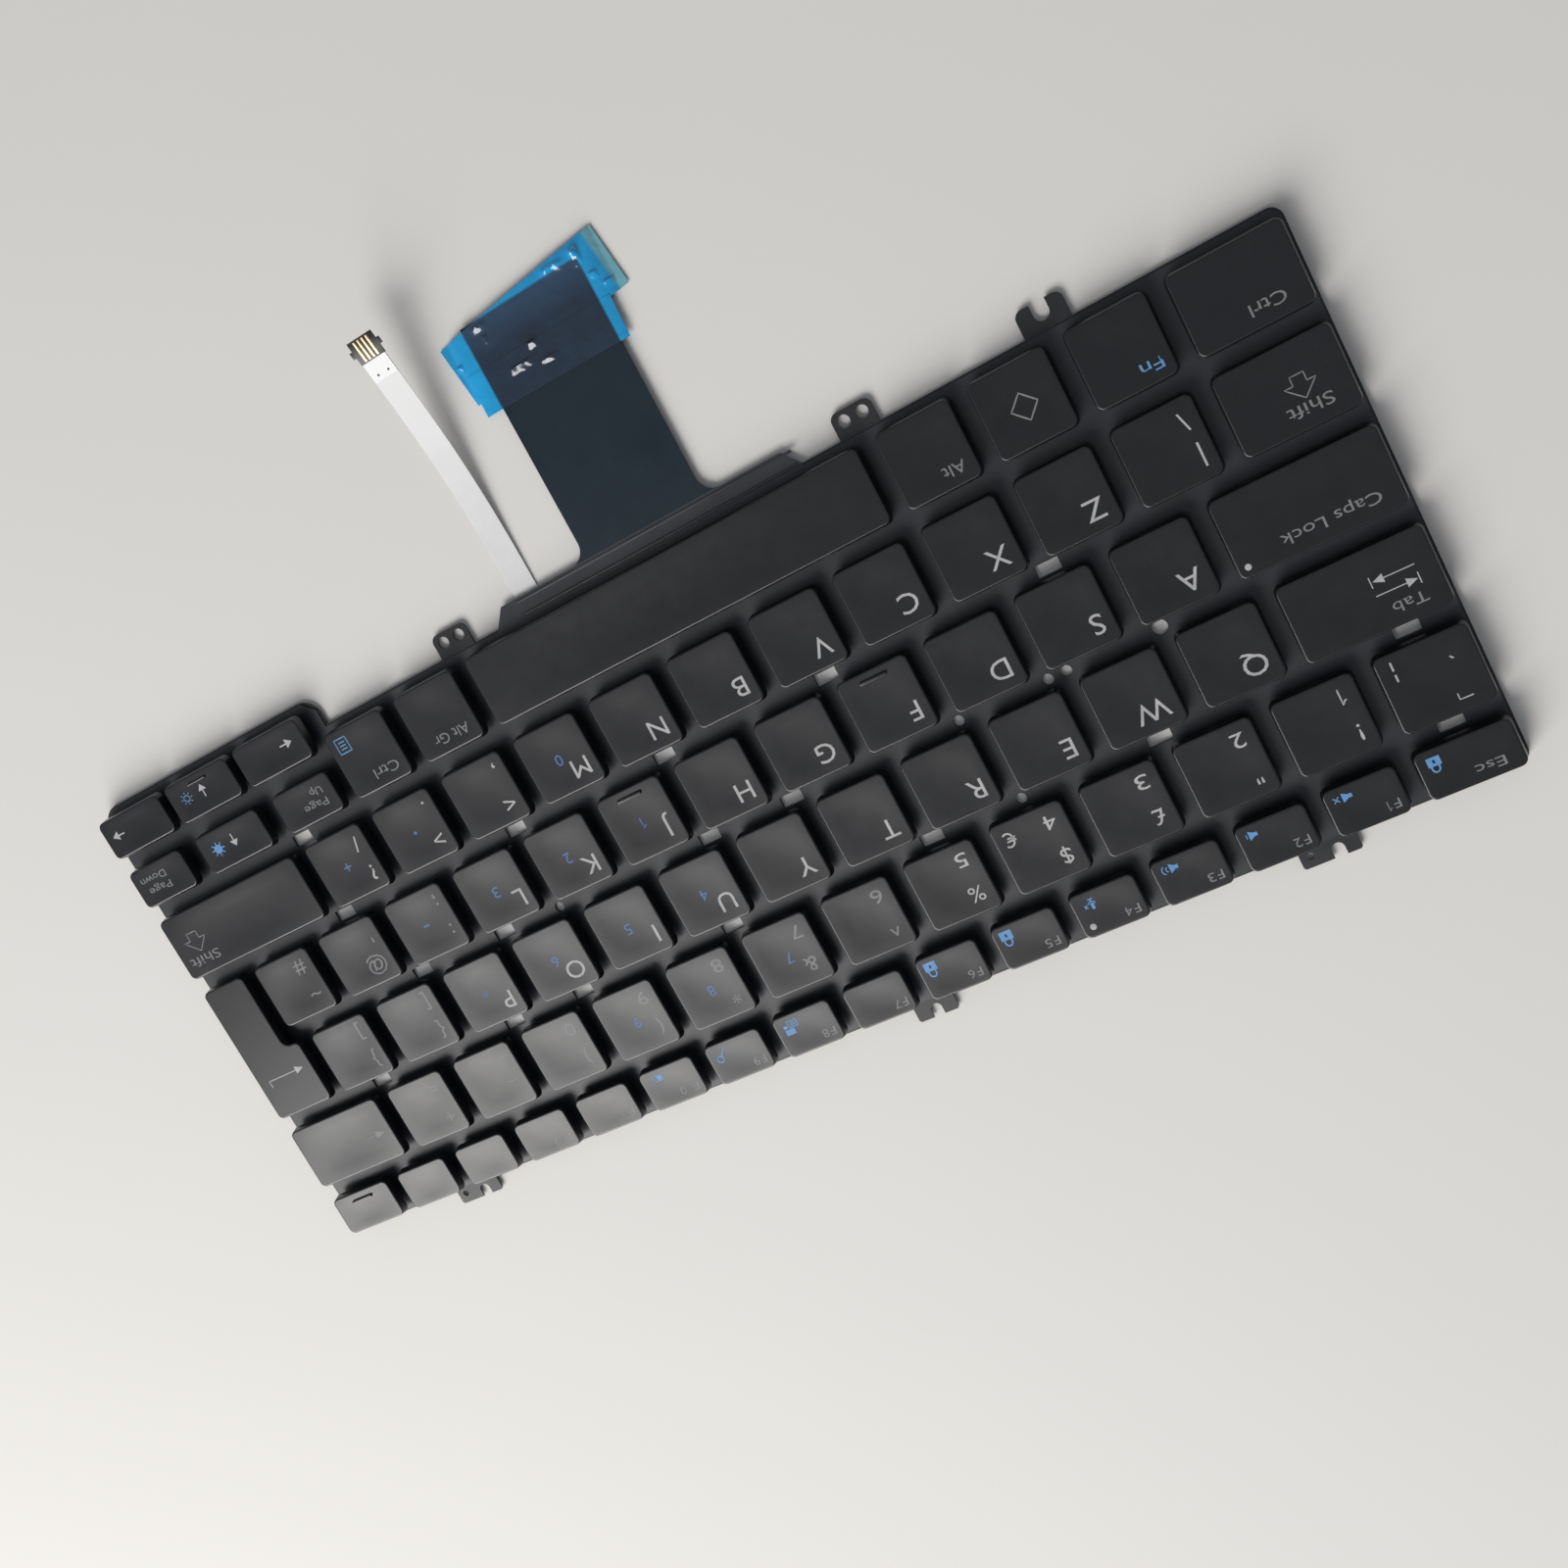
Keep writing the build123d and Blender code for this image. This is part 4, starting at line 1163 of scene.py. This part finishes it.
class KEYBOARD_OT_cable(bpy.types.Operator):
    """Lay the white ribbon cable and make its stiffener and its end piece"""
    bl_idname = "keyboard.cable"
    bl_label = "Ribbon cable"

    def route_points(self):
        """Points along the ribbon's smooth route."""
        line = bpy.data.curves.new("cable_line", "CURVE")
        line.dimensions = "3D"
        line.resolution_u = 10
        spline = line.splines.new("NURBS")
        spline.points.add(len(CABLE_ROUTE) - 1)
        for point, place in zip(spline.points, CABLE_ROUTE):
            point.co = (*place, 1)
        spline.order_u = 3
        spline.use_endpoint_u = True
        guide = bpy.data.objects.new("cable_line", line)
        bpy.context.collection.objects.link(guide)
        bpy.context.view_layer.update()
        graph = bpy.context.evaluated_depsgraph_get()
        traced = bpy.data.meshes.new_from_object(guide.evaluated_get(graph))
        points = [v.co.copy() for v in traced.vertices]
        bpy.data.objects.remove(guide)
        bpy.data.meshes.remove(traced)
        return points

    def ribbon(self, points, name, width, thickness, material):
        """A flat strip that follows the points."""
        strip = start_plane(name, width / MM, 2)
        choose("VERT", lambda v: v.co.y < 0)
        bpy.ops.mesh.delete(type="VERT")
        bpy.ops.mesh.select_all(action="SELECT")
        bpy.ops.transform.translate(value=points[0] / MM - Vector((0, 1, 0)))
        choose("EDGE", lambda e: True)
        for before, after in zip(points, points[1:]):
            bpy.ops.mesh.extrude_edges_move(TRANSFORM_OT_translate={"value": (after - before) / MM})
        bpy.ops.mesh.select_all(action="SELECT")
        bpy.ops.mesh.normals_make_consistent(inside=False)
        leave_edit(60)
        use_modifier(strip, "SOLIDIFY", thickness=thickness / MM, offset=0)
        use_modifier(strip, "BEVEL", width=thickness / MM * 0.25, segments=1, limit_method="ANGLE")
        take(strip)
        bpy.ops.object.shade_smooth_by_angle(angle=math.radians(40))
        return place_piece(strip, material)

    def end_piece(self):
        """Black end with ears half-way along and four contacts on its face, in line with the ribbon."""
        cable = settings("cable")
        long, wide, thick, pitch = (
            value / MM for value in (cable.end_length, cable.end_width, cable.end_thickness,
                                     cable.contact_pitch))
        ear = cable.ear_length / MM / 2
        out = (cable.ear_width - cable.end_width) / MM / 2
        end = start_plane("ribbon_end_piece", wide, long)
        for y in (-ear, ear):
            bpy.ops.mesh.select_all(action="SELECT")
            bpy.ops.mesh.bisect(plane_co=(0, y, 0), plane_no=(0, 1, 0))
        for side in (-1, 1):
            choose("EDGE", lambda e: all(side * v.co.x > wide / 2 - 1e-3 and abs(v.co.y) < ear + 1e-3
                                         for v in e.verts))
            bpy.ops.mesh.extrude_edges_move(TRANSFORM_OT_translate={"value": (side * out, 0, 0)})
        bpy.ops.mesh.select_all(action="SELECT")
        bpy.ops.mesh.normals_make_consistent(inside=False)
        leave_edit()
        use_modifier(end, "SOLIDIFY", thickness=thick, offset=0)
        use_modifier(end, "BEVEL", width=0.05, segments=2, limit_method="ANGLE")
        take(end)
        bpy.ops.object.shade_smooth_by_angle(angle=math.radians(40))
        before, last = (Vector(point) for point in CABLE_ROUTE[-2:])
        rise = math.atan2(last.z - before.z, before.y - last.y)
        seat = Matrix.Translation(last) @ Matrix.Rotation(-rise, 4, "X")
        middle = -cable.end_length / 2
        place_piece(end, end_plastic(), seat @ Matrix.Translation((0, middle, 0)))
        parts = [end]
        for index in range(CONTACTS):
            x = (index - (CONTACTS - 1) / 2) * pitch
            contact = raised_slab("contact", pitch * 0.5, long - 0.6, 0.06, 0.1, 0.02)
            at = Matrix.Translation((x * MM, middle, cable.end_thickness / 2 - 0.00004))
            parts.append(place_piece(contact, gold_contact(), seat @ at))
        return join(parts, "ribbon_end_piece")

    def execute(self, context):
        cable = settings("cable")
        points = self.route_points()
        ribbon = self.ribbon(points, "ribbon_cable", cable.width, cable.thickness, ribbon_film())
        covered = 0.0
        last = [points[-1]]
        for after, before in zip(points[::-1], points[-2::-1]):
            covered += (after - before).length
            if covered > cable.stiffener:
                break
            last.insert(0, before)
        lift = Vector((0, 0, cable.thickness / 2 + STIFF_FILM / 2))
        stiffener = self.ribbon([point + lift for point in last], "ribbon_stiffener",
                                cable.width - 0.0001, STIFF_FILM, stiff_film())
        rise = math.atan2(last[1].z - last[0].z, last[0].y - last[1].y)
        dots = []
        for side in (-1, 1):
            aside = Vector((side * cable.width * 0.22, 0, -STIFF_FILM / 2))
            at = (last[0] + last[1]) / 2 + lift * 2 + aside
            seat = Matrix.Translation(at) @ Matrix.Rotation(-rise, 4, "X")
            dots.append(place_piece(lamp_dot(cable.dot_radius / MM), end_plastic(), seat))
        stiffener = join([stiffener] + dots, "ribbon_stiffener")
        end = self.end_piece()
        hand_over(ribbon, "ribbon", "base", "backlight_cable")
        hand_over(stiffener, "ribbon", "base")
        hand_over(end, "ribbon_end", "base", "cable_end")
        return {"FINISHED"}


class KEYBOARD_OT_layers(bpy.types.Operator):
    """Finish the white panel, the coated plate and the black film, with their small round holes"""
    bl_idname = "keyboard.layers"
    bl_label = "Plate and films"

    def pierced(self, node, name, material, slot):
        """A copy of a flat CAD layer with the small round holes bored through it."""
        layer = bpy.data.objects.new(name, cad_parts[node].data.copy())
        bpy.context.collection.objects.link(layer)
        take(layer)
        bpy.ops.mesh.customdata_custom_splitnormals_clear()
        bpy.ops.object.mode_set(mode="EDIT")
        bpy.ops.mesh.select_all(action="SELECT")
        bpy.ops.mesh.remove_doubles(threshold=1e-6)
        bpy.ops.object.mode_set(mode="OBJECT")
        for vert in layer.data.vertices:
            vert.co.y = max(vert.co.y, TAIL_END)
        pins = []
        for x, y, radius in LOCATING_HOLES:
            bpy.ops.mesh.primitive_cylinder_add(
                vertices=28, radius=radius * MM, depth=0.004, location=(x * MM, y * MM, DECK_Z))
            pins.append(bpy.context.object)
        tool = join(pins, "bore_pins")
        use_modifier(layer, "BOOLEAN", operation="DIFFERENCE", object=tool, solver="EXACT")
        bpy.data.objects.remove(tool)
        take(layer)
        bpy.ops.object.shade_smooth_by_angle(angle=math.radians(30))
        layer.data.materials.clear()
        layer.data.materials.append(material)
        hand_over(layer, slot, "base", node)
        return layer

    def finish_tail(self, film):
        """Give the film in front of the lip its own duller material at the film's darker tone. The film
        behind the lip keeps a lighter tone, painted light that lifts the shade between the caps.
        """
        start, right = settings("layers").tail_y, settings("layers").bead_right
        take(film)
        film.data.materials.append(tail_film())
        film.active_material_index = 1
        bpy.ops.object.mode_set(mode="EDIT")
        bpy.ops.mesh.select_all(action="SELECT")
        bpy.ops.mesh.bisect(plane_co=(0, start, 0), plane_no=(0, 1, 0))
        choose("FACE", lambda f: f.calc_center_median().y < start and f.calc_center_median().x < right)
        bpy.ops.object.material_slot_assign()
        bpy.ops.object.mode_set(mode="OBJECT")

    def lip_bead(self):
        """The folded bead along the front lip and the low hem at its edge, round on top."""
        layers = settings("layers")
        middle = (layers.bead_left + layers.bead_right) / 2
        parts = []
        for y, share_up in ((layers.bead_y, 1.0), (layers.hem_y, 0.6)):
            high = layers.bead_height / MM * share_up
            bead = raised_slab("lip_bead", (layers.bead_right - layers.bead_left) / MM,
                               layers.bead_width / MM, high, 0, high * 0.8)
            seat = Matrix.Translation((middle, y, DECK_Z - LET_IN))
            parts.append(place_piece(bead, black_film(), seat))
        hand_over(join(parts, "lip_bead"), "membrane", "base")

    def execute(self, context):
        dress("backlight_panel", white_panel())
        self.pierced("support_plate", "coated_plate", coated_steel(), "plate")
        self.finish_tail(self.pierced("membrane", "contact_film", black_film(), "membrane"))
        self.lip_bead()
        return {"FINISHED"}


class KEYBOARD_OT_tape(bpy.types.Operator):
    """Lay the two creased lengths of blue tape over the end of the tail"""
    bl_idname = "keyboard.tape"
    bl_label = "Blue tape"

    def rise(self, x, y):
        """Height of the creases and crumpled places at one place of the tape."""
        tape = settings("tape")
        ridges = 1 - abs(noise.noise(Vector((x * 170, y * 330, 2.0))))
        folds = max(0.0, noise.noise(Vector((x * 420 + y * 260, y * 90 - x * 60, 7.0))))
        ridges = max(0.0, ridges - RIDGE_FROM) / (1 - RIDGE_FROM)
        height = tape.crease * (0.55 * ridges + 0.6 * folds)
        for mid_x, mid_y, reach_x, reach_y in CRUMPLES:
            along, across = (x / MM - mid_x) / reach_x, (y / MM - mid_y) / reach_y
            fold = max(0.0, min((across + 1) / 0.4, (1 - across) / 1.6)) * math.exp(-along ** 4)
            uneven = 0.85 + 0.5 * noise.noise(Vector((x * 600, y * 600, mid_x)))
            height += tape.crumple * reach_y * MM * fold * uneven
        return height

    def length_of_tape(self, name, size, place, turn, seat):
        """One length of tape, creased, and sunk to the floor past the tail's edges."""
        tape = settings("tape")
        bpy.ops.object.select_all(action="DESELECT")
        bpy.ops.mesh.primitive_grid_add(x_subdivisions=160, y_subdivisions=58, size=1)
        sheet = bpy.context.object
        sheet.name = name
        sheet.data.transform(
            Matrix.Translation(place) @ Matrix.Rotation(turn, 4, "Z")
            @ Matrix.Diagonal((*size, 1, 1)))
        for vert in sheet.data.vertices:
            x, y = vert.co.x, vert.co.y
            loose = max(0.0, TAIL_LEFT - x, x - TAIL_RIGHT, TAIL_END - y) / SINK_REACH
            height = self.rise(x, y) - tape.droop * min(loose, 1.0) ** 2
            vert.co.z = seat + (max(height, 0.00001) if loose == 0 else height)
        use_modifier(sheet, "SOLIDIFY", thickness=tape.thickness, offset=1)
        take(sheet)
        bpy.ops.object.shade_smooth_by_angle(angle=math.radians(50))
        sheet.data.materials.append(blue_tape())
        return sheet

    def execute(self, context):
        tape = settings("tape")
        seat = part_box("tail_tape")[0].z
        outer = self.length_of_tape("tape_outer", (tape.length, tape.width), OUTER_PLACE, OUTER_TURN,
                                    seat + OUTER_GAP)
        strip = self.length_of_tape("tape_inner", (tape.strip_length, tape.strip_width), STRIP_PLACE,
                                    STRIP_TURN, seat + STRIP_GAP)
        for piece in (outer, strip):
            hand_over(piece, "tape", "base", "tail_tape")
        return {"FINISHED"}


class KEYBOARD_OT_links(bpy.types.Operator):
    """Make the scissor links and rubber domes under the caps, and finish the stabiliser wire"""
    bl_idname = "keyboard.links"
    bl_label = "Links and domes"

    def tilted(self, piece, reach, side, height):
        """Bevel one link and lean it from the film up to the cap."""
        links = settings("links")
        use_modifier(piece, "SOLIDIFY", thickness=links.thickness / MM, offset=0)
        use_modifier(piece, "BEVEL", width=0.1, segments=1, limit_method="ANGLE")
        take(piece)
        bpy.ops.object.shade_smooth_by_angle(angle=math.radians(30))
        lean = (math.asin(height / math.hypot(reach, links.thickness))
                - math.atan(links.thickness / reach))
        return place_piece(
            piece, link_plastic(),
            Matrix.Translation((0, 0, DECK_Z + height / 2)) @ Matrix.Rotation(side * lean, 4, "X"))

    def forked(self, width, side, height):
        """A link of two arms and the bar that joins them under the cap."""
        links = settings("links")
        fork = start_plane("fork", width / MM, links.reach / MM)
        inner = (width / 2 - links.rail) / MM
        bar = side * (links.reach / 2 - links.rail) / MM
        cuts = [((-inner, 0, 0), (1, 0, 0)), ((inner, 0, 0), (1, 0, 0)), ((0, bar, 0), (0, 1, 0))]
        for at, normal in cuts:
            bpy.ops.mesh.select_all(action="SELECT")
            bpy.ops.mesh.bisect(plane_co=at, plane_no=normal)
        choose("FACE", lambda f: abs(f.calc_center_median().x) < inner
               and side * (f.calc_center_median().y - bar) < 0)
        bpy.ops.mesh.delete(type="FACE")
        leave_edit()
        return self.tilted(fork, links.reach, side, height)

    def plain(self, side, height):
        """A link of a half-height key, on its own side of the dome."""
        links = settings("links")
        link = start_plane("half_link", links.half_width / MM, links.half_reach / MM)
        choose("FACE", lambda f: True)
        bpy.ops.mesh.inset(thickness=links.half_width / MM * 0.25)
        bpy.ops.mesh.delete(type="FACE")
        leave_edit()
        self.tilted(link, links.half_reach, side, height)
        link.data.transform(Matrix.Translation((side * (links.width - links.half_width) / 2, 0, 0)))
        return link

    def dome(self, height):
        """A bell-shaped rubber dome with a foot, a collapsing skirt and a flat head."""
        links = settings("links")
        foot, head = links.dome_foot / MM, links.dome_head / MM
        rings = [(foot, 0.08), (foot * 0.93, 0.16), (foot * 0.72, 0.62), (head * 1.08, 0.72),
                 (head, 0.97), (head * 0.9, 1.0)]
        bpy.ops.object.select_all(action="DESELECT")
        bpy.ops.mesh.primitive_circle_add(vertices=14, radius=foot, fill_type="NGON")
        bell = bpy.context.object
        bpy.ops.object.mode_set(mode="EDIT")
        choose("FACE", lambda f: True)
        radius, level = foot, 0.0
        for wide, share_up in rings:
            up = height / MM * share_up
            bpy.ops.mesh.extrude_region_move(TRANSFORM_OT_translate={"value": (0, 0, up - level)})
            bpy.ops.transform.resize(value=(wide / radius, wide / radius, 1))
            radius, level = wide, up
        bpy.ops.mesh.select_all(action="SELECT")
        bpy.ops.mesh.normals_make_consistent(inside=False)
        leave_edit(50)
        return place_piece(bell, dome_rubber(), Matrix.Translation((0, 0, DECK_Z)))

    def execute(self, context):
        links = settings("links")
        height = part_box("rubber_domes")[1].z - DECK_Z
        inner = links.width - 2 * links.rail - 2 * links.clearance
        full = join([self.forked(links.width, 1, height), self.forked(inner, -1, height),
                     self.dome(height)], "full_set")
        half = join([self.plain(1, height), self.plain(-1, height), self.dome(height)], "half_set")
        keys = {node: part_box(node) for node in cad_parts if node.startswith("key_")}
        row_low, row_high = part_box("number_row_keys")
        fixed = []
        for low, high in solids_of("rubber_domes"):
            x, y = (low.x + high.x) / 2, (low.y + high.y) / 2
            over = [node for node, (a, b) in keys.items() if a.x < x < b.x and a.y < y < b.y]
            if over:
                piece = copy_of(full, "links_" + over[0][len("key_"):], (x, y, 0))
                hand_over(piece, "scissor", "base", "scissor_links", "rubber_domes")
                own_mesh(piece)
            else:
                master = full if row_low.y < y < row_high.y else half
                fixed.append(copy_of(master, "links_row", (x, y, 0)))
        rows = join(fixed, "links_rows")
        hand_over(rows, "scissor", "base", "scissor_links", "rubber_domes")
        for master in (full, half):
            bpy.data.objects.remove(master)
        dress("space_stabiliser", drawn_steel())
        return {"FINISHED"}


class KEYBOARD_OT_letter_caps(bpy.types.Operator):
    """Make the caps that move one by one, with their legends"""
    bl_idname = "keyboard.letter_caps"
    bl_label = "Moving caps"

    def execute(self, context):
        store = CapStore()
        for node in sorted(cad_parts):
            if not node.startswith("key_") or node == "key_enter":
                continue
            low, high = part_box(node)
            name = "cap_" + node[len("key_"):]
            cap = join(mark_cap(store.copy(low, high, name), low, high, letter_marks(node)), name)
            hand_over(cap, "keycap", node, node)
        store.clear()
        return {"FINISHED"}


class KEYBOARD_OT_enter_cap(bpy.types.Operator):
    """Make the tall Enter cap, which reaches over two rows"""
    bl_idname = "keyboard.enter_cap"
    bl_label = "Enter cap"

    def execute(self, context):
        low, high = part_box("key_enter")
        places = [v.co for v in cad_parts["key_enter"].data.vertices]
        inner_left = min(p.x for p in places if p.y < low.y + 0.002 and p.z < low.z + 1e-5)
        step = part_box("key_right_bracket")[0].y
        middle = (low + high) / 2
        cap = shape_cap("cap_enter", high.x - low.x, high.y - low.y, low.z, high.z,
                        (inner_left - middle.x, step - middle.y))
        cap.data.transform(Matrix.Translation((middle.x, middle.y, 0)))
        cap = join(mark_cap(cap, low, high, letter_marks("key_enter")), "cap_enter")
        hand_over(cap, "keycap", "key_enter", "key_enter")
        return {"FINISHED"}


class KEYBOARD_OT_row_caps(bpy.types.Operator):
    """Make the caps of the function row, the number row and the cursor block, with their legends"""
    bl_idname = "keyboard.row_caps"
    bl_label = "Rows of caps"

    def execute(self, context):
        store = CapStore()
        rows = {
            "function_row_keys": [function_marks(index) for index in range(FUNCTION_KEYS)],
            "number_row_keys": [number_marks(index) for index in range(len(NUMBER_SIGNS))],
            "cursor_keys": CURSOR_LEGENDS,
        }
        for node, legends in rows.items():
            boxes = solids_of(node)
            if len(boxes) != len(legends):
                raise RuntimeError(f"{node} has {len(boxes)} caps for {len(legends)} legends")
            parts = []
            for (low, high), marks in zip(boxes, legends):
                parts += mark_cap(store.copy(low, high, "cap"), low, high, marks)
            row = join(parts, "caps_" + node.replace("_keys", ""))
            hand_over(row, "keycap", "base", node)
        store.clear()
        return {"FINISHED"}


STEPS = [KEYBOARD_OT_stage, KEYBOARD_OT_cable, KEYBOARD_OT_layers, KEYBOARD_OT_tape, KEYBOARD_OT_links,
         KEYBOARD_OT_letter_caps, KEYBOARD_OT_enter_cap, KEYBOARD_OT_row_caps]
GROUPS = {"caps": CapSettings, "legends": LegendSettings, "layers": LayerSettings, "links": LinkSettings,
          "tape": TapeSettings, "cable": CableSettings, "stage": StageSettings}


class KEYBOARD_PT_dressing(bpy.types.Panel):
    """Sizes, colours and steps of the keyboard"""
    bl_label = "Keyboard"
    bl_idname = "KEYBOARD_PT_dressing"
    bl_space_type = "VIEW_3D"
    bl_region_type = "UI"
    bl_category = "Keyboard"

    def draw(self, context):
        for step in STEPS:
            self.layout.operator(step.bl_idname)
        for name, group in GROUPS.items():
            box = self.layout.box()
            box.label(text=name.title())
            for field in group.__annotations__:
                box.prop(settings(name), field)


def register():
    for name, group in GROUPS.items():
        bpy.utils.register_class(group)
        setattr(bpy.types.Scene, "keyboard_" + name, bpy.props.PointerProperty(type=group))
    for step in STEPS:
        bpy.utils.register_class(step)
    bpy.utils.register_class(KEYBOARD_PT_dressing)


def unregister():
    bpy.utils.unregister_class(KEYBOARD_PT_dressing)
    for step in reversed(STEPS):
        bpy.utils.unregister_class(step)
    for name, group in GROUPS.items():
        delattr(bpy.types.Scene, "keyboard_" + name)
        bpy.utils.unregister_class(group)


def main():
    register()
    bpy.ops.keyboard.stage()
    bpy.ops.keyboard.cable()
    bpy.ops.keyboard.layers()
    bpy.ops.keyboard.tape()
    bpy.ops.keyboard.links()
    bpy.ops.keyboard.letter_caps()
    bpy.ops.keyboard.enter_cap()
    bpy.ops.keyboard.row_caps()


if __name__ == "__main__":
    main()
